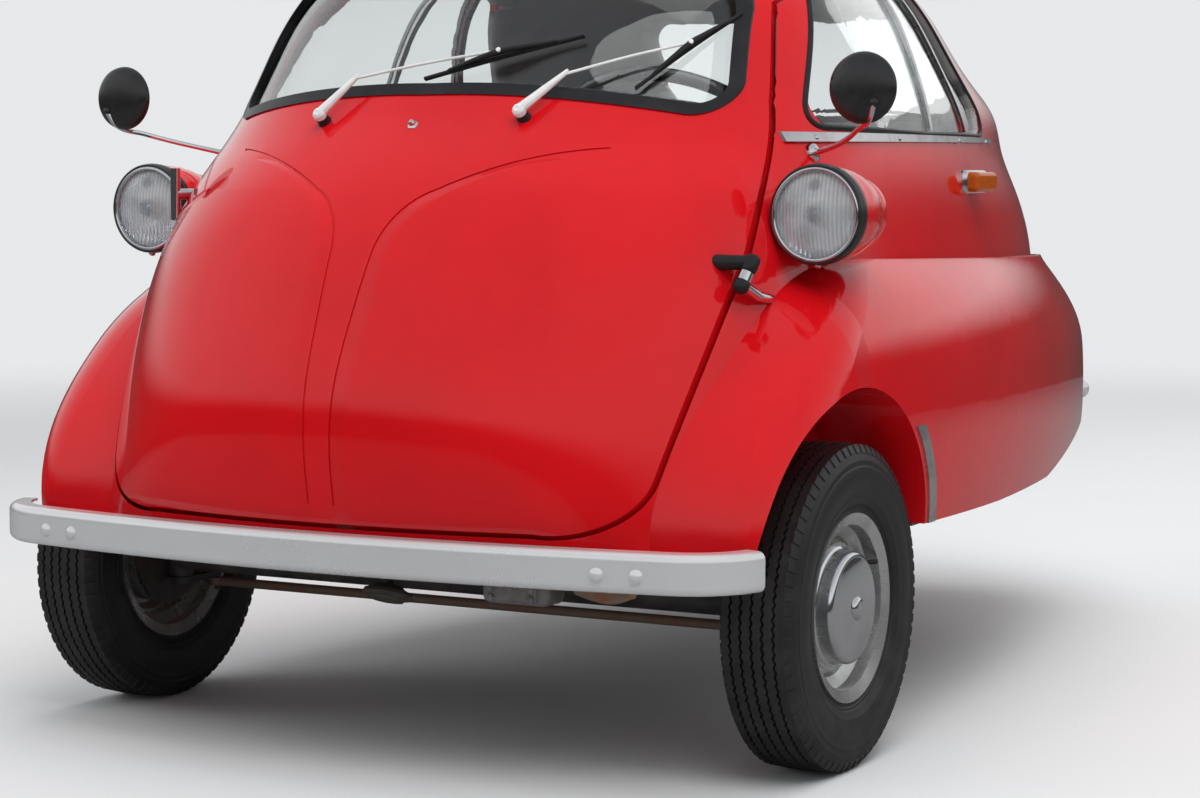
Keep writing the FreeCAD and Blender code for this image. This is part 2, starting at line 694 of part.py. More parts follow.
def chassis():
    beam = rod(V(-KINGPIN_X, aft(0), AXLE_Z), V(KINGPIN_X, aft(0), AXLE_Z), BEAM_R)
    shape = beam
    for side in (-1, 1):
        sleeve_foot = V(side * KINGPIN_X, aft(0), AXLE_Z - SLEEVE_HALF)
        shape = shape.fuse(Part.makeCylinder(SLEEVE_R, 2 * SLEEVE_HALF, sleeve_foot))
        room = Part.makeCylinder(SLEEVE_R + 6, 2 * EAR_T + 20, sleeve_foot - UP * (2 * EAR_T + 20))
        upper = Part.makeCylinder(SLEEVE_R + 6, 2 * EAR_T + 20, sleeve_foot + UP * (2 * SLEEVE_HALF))
        outboard = box(KINGPIN_X, KINGPIN_X + 60, aft(-60), aft(60), AXLE_Z - 60, AXLE_Z + 60)
        if side < 0:
            outboard = mirrored(outboard)
        shape = shape.cut([room, upper])
        bore = Part.makeCylinder(KINGPIN_R + BORE_GAP, 300, V(side * KINGPIN_X, aft(0), AXLE_Z - 150))
        shape = shape.cut(outboard.cut(Part.makeCylinder(SLEEVE_R, 300, V(side * KINGPIN_X, aft(0), 100))))
        shape = shape.cut(bore)
        rail = rod(V(side * RAIL_X, aft(RAIL_FRONT), RAIL_Z), V(side * RAIL_X, aft(RAIL_REAR), RAIL_Z), RAIL_R)
        iron = box(side * RAIL_X - IRON_T / 2, side * RAIL_X + IRON_T / 2, aft(BUMPER_NOSE), aft(RAIL_FRONT + 30),
                   IRON_Z, IRON_Z + IRON_H)
        shape = shape.fuse(iron.cut(bumper_band(-60, BUMPER_T, BUMPER_Z - 20, BUMPER_Z + BUMPER_H + 20)))
        post = rod(V(side * RAIL_X, aft(0), AXLE_Z), V(side * RAIL_X, aft(0), RAIL_Z), RAIL_R - 4)
        shape = shape.fuse([rail, post])
    for y in CROSS_TUBES:
        shape = shape.fuse(rod(V(-RAIL_X, aft(y), RAIL_Z), V(RAIL_X, aft(y), RAIL_Z), RAIL_R - 2))
    return shape.removeSplitter()


# Rear wheel carrier: a chain case on the left and a plain arm on the right of the wheel
ARM_IN_X = 74.0
CASE_T = 46.0
SIDE_ARM_T = 26.0
AXLE_R = 14.0
CASE_END_R = 62.0
CASE_FRONT_R = 48.0
CASE_FRONT_Y = 1150.0


def long_link(x, thickness, front_r, rear_r, front_z):
    """A flat link from the cross tube to the rear axle: two discs and the web tangent to both."""
    front = V(x, aft(CASE_FRONT_Y), front_z)
    rear = V(x, aft(WHEELBASE), AXLE_Z)
    ends = [Part.makeCylinder(front_r, thickness, front, LEFT), Part.makeCylinder(rear_r, thickness, rear, LEFT)]
    run = rear - front
    turn = math.asin((front_r - rear_r) / run.Length)
    heading = math.atan2(run.z, run.y)
    points = []
    for side in (1, -1):
        angle = heading + side * (math.pi / 2 - turn)
        outward = V(0, math.cos(angle), math.sin(angle))
        points.append([front + outward * front_r, rear + outward * rear_r])
    web = polygon_face([points[0][0], points[0][1], points[1][1], points[1][0]]).extrude(V(thickness, 0, 0))
    return ends[0].fuse([ends[1], web]).removeSplitter()


def rear_carrier():
    case = long_link(ARM_IN_X, CASE_T, CASE_FRONT_R, CASE_END_R, RAIL_Z)
    arm = long_link(-ARM_IN_X - SIDE_ARM_T, SIDE_ARM_T, CASE_FRONT_R - 8, CASE_END_R - 22, RAIL_Z)
    bridge = rod(V(-ARM_IN_X, aft(CASE_FRONT_Y), RAIL_Z), V(ARM_IN_X, aft(CASE_FRONT_Y), RAIL_Z), RAIL_R)
    shape = case.fuse([arm, bridge])
    bore = rod(V(-300, aft(WHEELBASE), AXLE_Z), V(300, aft(WHEELBASE), AXLE_Z), AXLE_R + BORE_GAP)
    return shape.cut([bore, chassis_clear()])


def chassis_clear():
    """What the rear cross tube takes out of the carrier that is bolted to it."""
    return rod(V(-RAIL_X, aft(RAIL_REAR), RAIL_Z), V(RAIL_X, aft(RAIL_REAR), RAIL_Z), RAIL_R - 2)


def rear_axle():
    right = V(-ARM_IN_X - SIDE_ARM_T - 8, aft(WHEELBASE), AXLE_Z)
    left = V(ARM_IN_X + CASE_T + 8, aft(WHEELBASE), AXLE_Z)
    return rod(right, left, AXLE_R)


# Quarter-elliptic leaf springs beside the rear wheel, stepped leaf by leaf
SPRING_X = 150.0
SPRING_W = 44.0
LEAF_T = 6.0
LEAVES = [360, 290, 220, 150]
SPRING_FOOT = RAIL_REAR - 60.0


def rear_springs():
    leaves = []
    base = RAIL_Z + RAIL_R - 2
    for i, length in enumerate(LEAVES):
        z = base + i * LEAF_T
        y = aft(SPRING_FOOT)
        leaves.append(box(SPRING_X - SPRING_W / 2, SPRING_X + SPRING_W / 2, y, y + length, z, z + LEAF_T))
    pack = leaves[0].fuse(leaves[1:]).removeSplitter()
    return both(pack)


# Cabin floor and rear bulkhead with the parcel shelf, both fitted to the shell's hollow
FLOOR_FRONT = -345.0
FLOOR_REAR = 1012.0
FIT = 0.3
BULKHEAD_Y = 1000.0
PANEL_T = 10.0
SHELF_Z = 700.0


def floor_pan(hollow):
    slab = box(-800, 800, aft(FLOOR_FRONT), aft(FLOOR_REAR), SILL_Z, SILL_Z + FLOOR_T)
    pan = slab.common(hollow)
    clear = [wheel_well(HOUSE_T + FIT), mirrored(wheel_well(HOUSE_T + FIT))]
    return pan.cut(clear)


def rear_shelf(hollow):
    wall = box(-800, 800, aft(BULKHEAD_Y), aft(BULKHEAD_Y + PANEL_T), SILL_Z + FLOOR_T, SHELF_Z + PANEL_T)
    shelf = box(-800, 800, aft(BULKHEAD_Y), aft(2000), SHELF_Z, SHELF_Z + PANEL_T)
    return wall.fuse(shelf).common(hollow).removeSplitter()


# Bench seat
SEAT_HALF = 515.0
SEAT_FRONT = 450.0
SEAT_BACK = 905.0
SEAT_Z = 455.0
CUSHION_T = 130.0
CUSHION_R = 32.0
BACK_HALF = 450.0
BACK_T = 100.0
BACK_H = 390.0
BACK_R = 30.0
BACK_LEAN = 12.0
RISER_T = 12.0
SOFT_GAP = 0.3


def rounded_box(x0, x1, y0, y1, z0, z1, radius):
    block = box(x0, x1, y0, y1, z0, z1)
    return block.makeFillet(radius, block.Edges)


def seat_riser():
    """Open frame under the bench: two side walls, a front wall and a top."""
    z0 = SILL_Z + FLOOR_T
    y0 = aft(SEAT_FRONT + 25)
    y1 = aft(SEAT_BACK)
    outer = box(-SEAT_HALF + 30, SEAT_HALF - 30, y0, y1, z0, SEAT_Z - SOFT_GAP)
    t = RISER_T
    return outer.cut(box(-SEAT_HALF + 30 + t, SEAT_HALF - 30 - t, y0 + t, y1 + 1, z0 - 1, SEAT_Z - t))


def seat_cushion():
    return rounded_box(-SEAT_HALF, SEAT_HALF, aft(SEAT_FRONT), aft(SEAT_BACK), SEAT_Z, SEAT_Z + CUSHION_T, CUSHION_R)


def seat_backrest():
    """Leaning backrest that stands on the cushion's rear and rests on the shelf's front edge."""
    lean = math.radians(BACK_LEAN)
    foot_z = SEAT_Z + CUSHION_T + SOFT_GAP + BACK_T * math.sin(lean)
    rest_rise = SHELF_Z + PANEL_T - foot_z
    foot_y = aft(BULKHEAD_Y) - SOFT_GAP / math.cos(lean) - rest_rise * math.tan(lean)
    back = rounded_box(-BACK_HALF, BACK_HALF, foot_y - BACK_T, foot_y, foot_z, foot_z + BACK_H, BACK_R)
    back.rotate(V(0, foot_y, foot_z), LEFT, -BACK_LEAN)
    return back


# Engine block on the right, its bearers and the exhaust
ENGINE_X = (-455.0, -180.0)
ENGINE_Y = (1020.0, 1235.0)
ENGINE_Z = (RAIL_Z + RAIL_R, 560.0)
TAIL_PIPE_R = 16.0
TAIL_TIP_L = 60.0
FEED_PIPE_R = 18.0
TAIL_PIPE_T = 2.0
TAIL_PIPE_X = -232.0
TAIL_PIPE_Z = 268.0
SILENCER_R = 52.0


def engine_block():
    block = box(ENGINE_X[0], ENGINE_X[1], aft(ENGINE_Y[0]), aft(ENGINE_Y[1]), ENGINE_Z[0], ENGINE_Z[1])
    return block.makeFillet(20, [e for e in block.Edges if e.BoundBox.ZLength > 100])


def exhaust():
    y0 = aft(1300)
    y1 = aft(1560)
    end = aft(WHEELBASE + REAR_OVERHANG - 18)
    can = rod(V(TAIL_PIPE_X, y0, TAIL_PIPE_Z), V(TAIL_PIPE_X, y1, TAIL_PIPE_Z), SILENCER_R)
    can = can.makeFillet(14, can.Edges[0:1] + can.Edges[2:3])
    tip = end - TAIL_TIP_L
    pipe_out = rod(V(TAIL_PIPE_X, y1 - 20, TAIL_PIPE_Z), V(TAIL_PIPE_X, tip, TAIL_PIPE_Z), FEED_PIPE_R)
    pipe_tip = rod(V(TAIL_PIPE_X, tip - 1, TAIL_PIPE_Z), V(TAIL_PIPE_X, end, TAIL_PIPE_Z), TAIL_PIPE_R)
    feed = pipe([V(TAIL_PIPE_X, y0 + 20, TAIL_PIPE_Z), V(TAIL_PIPE_X, aft(1235 + 30), TAIL_PIPE_Z),
                 V(TAIL_PIPE_X, aft(1235 + 30), ENGINE_Z[0] + 60), V(TAIL_PIPE_X, aft(ENGINE_Y[1]), ENGINE_Z[0] + 60)],
                FEED_PIPE_R)
    bore = rod(V(TAIL_PIPE_X, y1, TAIL_PIPE_Z), V(TAIL_PIPE_X, end + 5, TAIL_PIPE_Z), TAIL_PIPE_R - TAIL_PIPE_T)
    return can.fuse([pipe_out, pipe_tip, feed]).cut(bore).removeSplitter()


# Headlamp pods on the front corners
LAMP_X = 611.0
LAMP_Z = 825.0
LAMP_FRONT = -14.0
LAMP_R = 72.0
LENS_R = 66.0
RING_T = 20.0
LENS_BULGE = 8.0
LENS_SET = 6.0
LENS_SEAT = 12.0


def along_y(profile, x, z):
    """A solid turned about a fore and aft line; rows are (radius, distance behind the front axle)."""
    steps = [[V(x + r, aft(y), z) for r, y in step] for step in profile]
    return Part.Face(loop(steps)).revolve(V(x, aft(0), z), REARWARD, 360)


def lamp_pod(outer):
    y = LAMP_FRONT + RING_T
    profile = [
        [(0, y), (LAMP_R - 3, y)],
        [(LAMP_R - 3, y), (LAMP_R - 1, y + 40), (LAMP_R - 14, y + 100)],
        [(LAMP_R - 14, y + 100), (40, y + 148), (0, y + 165)],
        [(0, y + 165), (0, y)],
    ]
    return along_y(profile, LAMP_X, LAMP_Z).cut(outer)


def lamp_ring(outer):
    y = LAMP_FRONT
    profile = [
        [(LENS_R, y + 4), (LENS_R + 2, y)],
        [(LENS_R + 2, y), (LAMP_R, y + 3), (LAMP_R, y + RING_T)],
        [(LAMP_R, y + RING_T), (LENS_R - 6, y + RING_T)],
        [(LENS_R - 6, y + RING_T), (LENS_R - 6, y + 12)],
        [(LENS_R - 6, y + 12), (LENS_R, y + 12)],
        [(LENS_R, y + 12), (LENS_R, y + 4)],
    ]
    return along_y(profile, LAMP_X, LAMP_Z).cut(outer)


def sagged(radius, sag, at):
    """Depth of a shallow ball surface at a distance from its axis."""
    ball_r = (radius * radius + sag * sag) / (2 * sag)
    return ball_r - math.sqrt(ball_r * ball_r - at * at)


def lamp_lens():
    """Domed lens that fills the ring's mouth."""
    r = LENS_R - FIT
    front = LAMP_FRONT - LENS_BULGE
    back = LAMP_FRONT
    profile = [
        [(0, front), (r / 2, front + sagged(r, LENS_BULGE + LENS_SET, r / 2)), (r, LAMP_FRONT + LENS_SET)],
        [(r, LAMP_FRONT + LENS_SET), (r, LAMP_FRONT + LENS_SEAT)],
        [(r, LAMP_FRONT + LENS_SEAT), (r / 2, back + sagged(r, LENS_SEAT, r / 2)), (0, back)],
        [(0, back), (0, front)],
    ]
    return along_y(profile, LAMP_X, LAMP_Z)


# Mirrors on bent stalks: foot on the body, bend, and the round head
MIRROR_FOOT = V(548, aft(128), 918)
MIRROR_BEND = V(604, aft(96), 932)
MIRROR_HEAD = V(676, aft(0), 1010)
MIRROR_R = 53.0
MIRROR_T = 16.0
STALK_R = 5.0


def mirrors(outer):
    stalk = pipe([MIRROR_FOOT - V(20, 0, 0), MIRROR_BEND, MIRROR_HEAD + V(0, 8, 0)], STALK_R)
    foot = rod(MIRROR_FOOT - V(20, 0, 0), MIRROR_FOOT + V(8, 0, 0), STALK_R * 2.2)
    head = along_y([
        [(0, -10), (30, -8), (MIRROR_R - 3, 0)],
        [(MIRROR_R - 3, 0), (MIRROR_R, 6), (MIRROR_R, MIRROR_T - 6)],
        [(MIRROR_R, MIRROR_T - 6), (0, MIRROR_T - 6)],
        [(0, MIRROR_T - 6), (0, -10)],
    ], MIRROR_HEAD.x, MIRROR_HEAD.z)
    return stalk.fuse([foot, head]).cut(outer)


# Side trim bands that follow the body
BELT_Z = 941.0
BELT_H = 15.0
BELT_FRONT = 84.0
BELT_REAR = 1010.0
BELT_T = 5.0


def belt_mouldings():
    strip = polygon_face([
        V(-900, aft(BELT_FRONT), BELT_Z - BELT_H / 2), V(-900, aft(BELT_FRONT), BELT_Z + BELT_H / 2),
        V(-900, aft(BELT_REAR), BELT_Z + BELT_H / 2), V(-900, aft(BELT_REAR + 30), BELT_Z)]).extrude(V(1800, 0, 0))
    return cell_solid(-BELT_T).cut(cell_solid(0)).common(strip)


INDICATOR_Y = 775.0
INDICATOR_Z = 871.0
INDICATOR_L = 95.0
INDICATOR_H = 34.0
INDICATOR_PROUD = 22.0


def side_indicators(outer):
    lens = rounded_box(540, 540 + 52 + INDICATOR_PROUD - 30, aft(INDICATOR_Y - INDICATOR_L / 2),
                       aft(INDICATOR_Y + INDICATOR_L / 2), INDICATOR_Z - INDICATOR_H / 2, INDICATOR_Z + INDICATOR_H / 2, 9)
    return both(lens.cut(outer))


GUARD_T = 3.0


def stone_guards():
    """Crescent guards on the wings behind the front wheel arches."""
    ring = Part.makeCylinder(ARCH_R + 30, 500, V(400, aft(ARCH_Y + 10), ARCH_Z), LEFT)
    ring = ring.cut(Part.makeCylinder(ARCH_R + 16, 600, V(390, aft(ARCH_Y - 6), ARCH_Z), LEFT))
    zone = box(400, 800, aft(ARCH_Y), aft(600), SILL_Z + 6, 500)
    band = wings_solid(-GUARD_T).cut(wings_solid(0))
    piece = band.common(ring.common(zone))
    return both(largest(piece))


def largest(shape):
    return max(shape.Solids, key=lambda s: s.Volume)


# Tail lamps, rear bumper, plate holder
TAIL_LAMP_X = 330.0
TAIL_LAMP_Z = 560.0
TAIL_LAMP_R = 36.0
TAIL_LAMP_PROUD = 26.0


def tail_lamps(outer):
    far = rod(V(TAIL_LAMP_X, aft(1500), TAIL_LAMP_Z), V(TAIL_LAMP_X, aft(2100), TAIL_LAMP_Z), TAIL_LAMP_R)
    stand = wings_solid(-TAIL_LAMP_PROUD)
    return both(largest(far.common(stand).cut(outer)))


REAR_BAR_Y = WHEELBASE + REAR_OVERHANG
REAR_BAR_R = 19.0
REAR_BAR_Z = 446.0


def rear_bumper(outer):
    """Two curved tubes either side of the tail, each with its stay to the body."""
    far = aft(REAR_BAR_Y - REAR_BAR_R)
    run = [(96, 0), (230, -22), (360, -92), (440, -190)]
    points = [V(x, far + y, REAR_BAR_Z) for x, y in run]
    tube = pipe(points, REAR_BAR_R)
    tube = tube.fuse([Part.makeSphere(REAR_BAR_R, points[0]), Part.makeSphere(REAR_BAR_R, points[-1])])
    stay = box(222, 246, far - 140, far - 22, REAR_BAR_Z - 12, REAR_BAR_Z + 12)
    return both(largest(tube.fuse(stay).cut(outer)))


PLATE_HALF_W = 170.0
PLATE_H = 120.0
PLATE_Z = 486.0
PLATE_BOLT_X = 120.0
PLATE_HOLE_R = 3.5
BRACKET_T = 3.0


def plate_bracket(outer):
    """Flat plate holder on two stays at the tail, with its two holes."""
    y = aft(WHEELBASE + 388)
    sheet = box(-PLATE_HALF_W, PLATE_HALF_W, y, y + BRACKET_T, PLATE_Z, PLATE_Z + PLATE_H)
    for x in (-PLATE_BOLT_X, PLATE_BOLT_X):
        hole = rod(V(x, y - 5, PLATE_Z + PLATE_H / 2), V(x, y + 10, PLATE_Z + PLATE_H / 2), PLATE_HOLE_R)
        sheet = sheet.cut(hole)
    for x in (-60, 60):
        stay = box(x - 10, x + 10, y - 110, y + 0.5, PLATE_Z + 30, PLATE_Z + 50)
        sheet = sheet.fuse(largest(stay.cut(outer)))
    return sheet.removeSplitter()


# Engine hatch on the right flank with its hinge
HATCH_AXIS = (-636.0, 976.0)
HATCH_PIN_R = 3.0
HATCH_BARREL_R = 7.0
HATCH_HINGES = [445.0, 560.0]
BARREL_L = 14.0
LEAF_L = 34.0
LOUVRES = 6
LOUVRE_PITCH = 24.0
LOUVRE_H = 7.0
LOUVRE_L = 230.0


def hatch_panel(hull):
    """The louvred panel with the upper half of each of its hinges."""
    band = wings_solid(0).cut(wings_solid(HATCH_T))
    panel = largest(band.common(prism(hatch_wire(0), V(-500, 0, 0))))
    slots = []
    for i in range(LOUVRES):
        z = 445 + i * LOUVRE_PITCH
        slots.append(box(-900, -300, aft(1090), aft(1090 + LOUVRE_L), z, z + LOUVRE_H))
    panel = panel.cut(slots)
    for z in HATCH_HINGES:
        leaf = hatch_leaf(z + BORE_GAP, 1).cut(hull)
        panel = panel.fuse(largest(leaf))
        axis = V(HATCH_AXIS[0], aft(HATCH_AXIS[1]), z - 5)
        panel = panel.cut(Part.makeCylinder(HATCH_PIN_R + BORE_GAP, BARREL_L + 10, axis))
    return panel.removeSplitter()


def hatch_leaf(z, way):
    """One hinge leaf with its barrel; way is 1 for the hatch's and -1 for the body's."""
    x, y_rel = HATCH_AXIS
    axis = V(x, aft(y_rel), z)
    barrel = Part.makeCylinder(HATCH_BARREL_R, BARREL_L, axis)
    y0, y1 = sorted((aft(y_rel), aft(y_rel + way * LEAF_L)))
    return barrel.fuse(box(x - 3, x + 60, y0, y1, z, z + BARREL_L)).removeSplitter()


def hatch_brackets(hull):
    """The body's halves of the hatch hinges, below, each with its pin."""
    pieces = []
    for z in HATCH_HINGES:
        leaf = largest(hatch_leaf(z - BARREL_L - BORE_GAP, -1).cut(hull))
        pin = Part.makeCylinder(HATCH_PIN_R, 2 * BARREL_L - 2, V(HATCH_AXIS[0], aft(HATCH_AXIS[1]), z - BARREL_L))
        pieces.append(leaf.fuse(pin).removeSplitter())
    return pieces


# Door hinges: each has an arm on the door above and one on the body below
HINGE_R = 11.0
HINGE_HALF = 26.0
HINGE_ARM_R = 8.0
HINGE_GAP = 0.5
HINGE_ARMS = [
    (HINGE_HIGH, [(478, -112, 752), (462, -90, 752)], [(552, -82, 706), (552, -40, 700)]),
    (HINGE_LOW, [(466, -318, 378), (398, -352, 410), (390, -315, 414)], [(462, -305, 300), (470, -285, 350)]),
]


def hinge_parts(hull, door):
    """The arms on the door's side and those on the body's side, each cut flush where it meets its panel."""
    door_side = []
    body_side = []
    for centre, upper_run, lower_run in HINGE_ARMS:
        for sign, run, side in ((1, upper_run, door_side), (-1, lower_run, body_side)):
            barrel = rod(centre + HINGE_DIR * (sign * HINGE_GAP), centre + HINGE_DIR * (sign * HINGE_HALF), HINGE_R)
            middle = centre + HINGE_DIR * (sign * HINGE_HALF * 0.75)
            arm = pipe([middle] + [V(x, aft(y), z) for x, y, z in run], HINGE_ARM_R)
            side.append(barrel.fuse(arm).removeSplitter())
    door_side = [largest(s.cut(door)) for s in door_side]
    body_side = [largest(s.cut(hull)) for s in body_side]
    return door_side, body_side


# Steering column and wheel, which swing with the door
COLUMN_FOOT = V(300, aft(-212), 412)
COLUMN_HEAD = V(270, aft(215), 915)
COLUMN_R = 15.0
COLUMN_DIR = (COLUMN_HEAD - COLUMN_FOOT).normalize()
STEER_WHEEL_R = 190.0
STEER_RIM_R = 11.0
SPOKE_R = 7.0
BOSS_R = 26.0
BOSS_T = 34.0
COLUMN_END_GAP = 4.0
SHAFT_R = 9.0
SHAFT_IN = 6.0


def steering_column():
    """The column tube with its stay to the door and the round instrument housing."""
    tube = rod(COLUMN_FOOT, COLUMN_HEAD - COLUMN_DIR * (BOSS_T / 2 + COLUMN_END_GAP), COLUMN_R)
    shaft = rod(COLUMN_HEAD - COLUMN_DIR * BOSS_T, COLUMN_HEAD + COLUMN_DIR * SHAFT_IN, SHAFT_R)
    collar = COLUMN_FOOT + COLUMN_DIR * 440
    stay = rod(collar, V(collar.x, aft(-330), 800), 12)
    stay = stay.common(cell_solid(WALL))
    pod_c = collar + V(0, -70, 42)
    pod = rod(pod_c, pod_c + V(0, 60, 40), 52)
    return tube.fuse([stay, pod, shaft]).removeSplitter()


def steering_wheel():
    ring = Part.makeTorus(STEER_WHEEL_R, STEER_RIM_R, COLUMN_HEAD, COLUMN_DIR)
    boss = rod(COLUMN_HEAD - COLUMN_DIR * (BOSS_T / 2), COLUMN_HEAD + COLUMN_DIR * (BOSS_T / 2), BOSS_R)
    across = COLUMN_DIR.cross(LEFT).normalize()
    side = across.cross(COLUMN_DIR).normalize()
    shape = ring.fuse(boss)
    for arm in (side, side * -1):
        shape = shape.fuse(rod(COLUMN_HEAD, COLUMN_HEAD + arm * STEER_WHEEL_R, SPOKE_R))
    bore = rod(COLUMN_HEAD - COLUMN_DIR * BOSS_T, COLUMN_HEAD + COLUMN_DIR * (SHAFT_IN + 0.5), SHAFT_R + BORE_GAP)
    return shape.removeSplitter().cut(bore)


# Steering box on the floor, pedals, gear lever and hand brake
BOX_R = 24.0
PEDALS = [(352, 50), (214, 50), (140, 40)]
PEDAL_Z = 470.0
LEVER_R = 6.0


def controls():
    """Steering box stub, pedals, gear lever and hand brake, all standing on the floor."""
    floor = SILL_Z + FLOOR_T
    foot = V(COLUMN_FOOT.x, COLUMN_FOOT.y - 10, floor)
    pieces = [Part.makeCylinder(BOX_R, 36, foot).fuse(Part.makeCylinder(12, 52, foot))]
    for x, width in PEDALS:
        stem = pipe([V(x, aft(-150), floor), V(x, aft(-195), floor + 70), V(x, aft(-212), PEDAL_Z - 30)], LEVER_R)
        pad = box(x - width / 2, x + width / 2, aft(-226), aft(-214), PEDAL_Z - 50, PEDAL_Z)
        pieces.append(stem.fuse(pad))
    lever = pipe([V(540, aft(400), floor), V(540, aft(380), floor + 190), V(520, aft(340), floor + 270)], LEVER_R + 2)
    knob = Part.makeSphere(20, V(520, aft(340), floor + 280))
    pieces.append(lever.fuse(knob))
    brake = pipe([V(60, aft(360), floor), V(60, aft(330), floor + 60), V(60, aft(200), floor + 90)], LEVER_R + 3)
    pieces.append(brake)
    under = box(-800, 800, aft(-800), aft(1000), SILL_Z - 100, floor)
    return Part.makeCompound([largest(p.cut(under)) for p in pieces])


# Wipers: pivot and elbow, points along the blade on the windscreen, and the way off the glass there,
# as x, distance behind the axle and height
WIPERS = [
    ([(187, -132, 966), (238, -72, 1025)],
     [(328, -43, 1010), (383, 42, 1076), (411, 94, 1110), (424, 123, 1127)], (0.45, -0.72, 0.53)),
    ([(-166, -141, 963), (-120, -97, 1024)],
     [(-6, -102, 1027), (114, -74, 1059), (235, -29, 1091)], (0.06, -0.83, 0.55)),
]
GLASS_OUT = V(0, -0.78, 0.62)
WIPER_R = 3.5
LEVER_R2 = 5.5
LEVER_END_R = 7.0
WIPER_BOSS_R = 9.0
WIPER_CAP_R = 11.0
CARRIER_R = 3.0
CARRIER_REACH = (0.2, 0.8)
BLADE_R = 4.0
BLADE_LIFT = 8.0
ARM_LIFT = 24.0


def along(points, share):
    """The point at a share of a run's length."""
    reach = share * sum((q - p).Length for p, q in zip(points, points[1:]))
    for p, q in zip(points, points[1:]):
        step = (q - p).Length
        if reach <= step:
            return p + (q - p) * (reach / step)
        reach = reach - step
    return points[-1]


def wipers(door):
    """Each wiper as one piece: boss through the panel, lever, thin arm, bridge and blade."""
    pieces = []
    for stem, line, way in WIPERS:
        out = V(*way).normalize()
        pivot, elbow = [V(x, aft(y), z) for x, y, z in stem]
        cap = pivot + GLASS_OUT * ARM_LIFT
        lifted = elbow + GLASS_OUT * ARM_LIFT
        blade = [V(x, aft(y), z) + out * BLADE_LIFT for x, y, z in line]
        middle = along(blade, 0.5) + out * (ARM_LIFT - BLADE_LIFT)
        boss = rod(pivot - GLASS_OUT * 30, cap, WIPER_BOSS_R).cut(door)
        shape = largest(boss).fuse(Part.makeSphere(WIPER_CAP_R, cap))
        shape = shape.fuse(rod(cap, lifted, LEVER_R2)).fuse(Part.makeSphere(LEVER_END_R, lifted))
        shape = shape.fuse(rod(lifted, middle, WIPER_R)).fuse(Part.makeSphere(WIPER_R + 1.5, middle))
        for share in CARRIER_REACH:
            shape = shape.fuse(rod(middle, along(blade, share), CARRIER_R))
        for p, q in zip(blade, blade[1:]):
            shape = shape.fuse(rod(p, q, BLADE_R))
        for corner in blade[1:-1]:
            shape = shape.fuse(Part.makeSphere(BLADE_R + 0.6, corner))
        pieces.append(shape)
    return Part.makeCompound(pieces)


HANDLE_X = -482.0
HANDLE_Z = 850.0


def door_handle(door_fill):
    y = -58
    bar = rod(V(HANDLE_X - 6, aft(y - 42), HANDLE_Z - 42), V(HANDLE_X - 6, aft(y - 42), HANDLE_Z + 42), 8)
    neck = rod(V(HANDLE_X - 6, aft(y - 42), HANDLE_Z), V(HANDLE_X + 34, aft(y + 40), HANDLE_Z), 9)
    return largest(bar.fuse(neck).cut(door_fill))


def build():
    os.makedirs("parts", exist_ok=True)
    lower, upper, skin, hollow, door_fill, outer = shell_pieces()
    seal, screen = screen_pieces()
    glass = side_glass()
    door_arms, body_arms = hinge_parts(outer, door_fill)
    nodes = {
        "body_shell": lower,
        "roof_shell": upper,
        "floor_pan": floor_pan(hollow),
        "rear_shelf": rear_shelf(hollow),
        "chassis_frame": chassis(),
        "front_bumper": front_bumper(),
        "body_windows": Part.makeCompound([glass, rear_glass()]),
        "roof_fabric": roof_fabric(),
        "headlamp_pods": both(lamp_pod(outer)),
        "headlamp_rings": both(lamp_ring(outer)),
        "headlamp_lenses": both(lamp_lens()),
        "mirrors": both(mirrors(outer)),
        "side_indicators": side_indicators(outer),
        "alloy_trim": Part.makeCompound([belt_mouldings(), window_channels(glass), stone_guards()]),
        "tail_lamps": tail_lamps(outer),
        "rear_bumper": rear_bumper(outer),
        "plate_bracket": plate_bracket(outer),
        "seat_riser": seat_riser(),
        "seat_cushion": seat_cushion(),
        "seat_backrest": seat_backrest(),
        "engine_block": engine_block(),
        "exhaust": exhaust(),
        "rear_suspension": Part.makeCompound([rear_carrier(), rear_springs()]),
        "controls": controls(),
        "hinge_brackets": Part.makeCompound(body_arms + hatch_brackets(outer)),
        "engine_hatch": hatch_panel(outer),
        "door_skin": skin,
        "windscreen": screen,
        "windscreen_seal": seal,
        "wipers": wipers(door_fill),
        "door_handle": door_handle(door_fill),
        "door_hinge_arms": Part.makeCompound(door_arms),
        "steering_column": steering_column(),
        "steering_wheel": steering_wheel(),
        "knuckle_left": knuckle(),
        "knuckle_right": mirrored(knuckle()),
        "track_rod": track_rod(),
        "rear_tyre": tyre(REAR_HUB, 1),
        "rear_rim": rear_rim(),
    }
    for name, side in (("left", 1), ("right", -1)):
        hub = V(side * FRONT_HUB.x, FRONT_HUB.y, FRONT_HUB.z)
        nodes["front_tyre_" + name] = tyre(hub, side)
        nodes["front_rim_" + name] = rim(hub, side)
        nodes["hub_cap_" + name] = hub_cap(hub, side)
    for name, shape in nodes.items():
        shape.exportStep("parts/" + name + ".step")
        print(name, shape.isValid(), len(shape.Solids), round(shape.Volume / 1e3, 1))


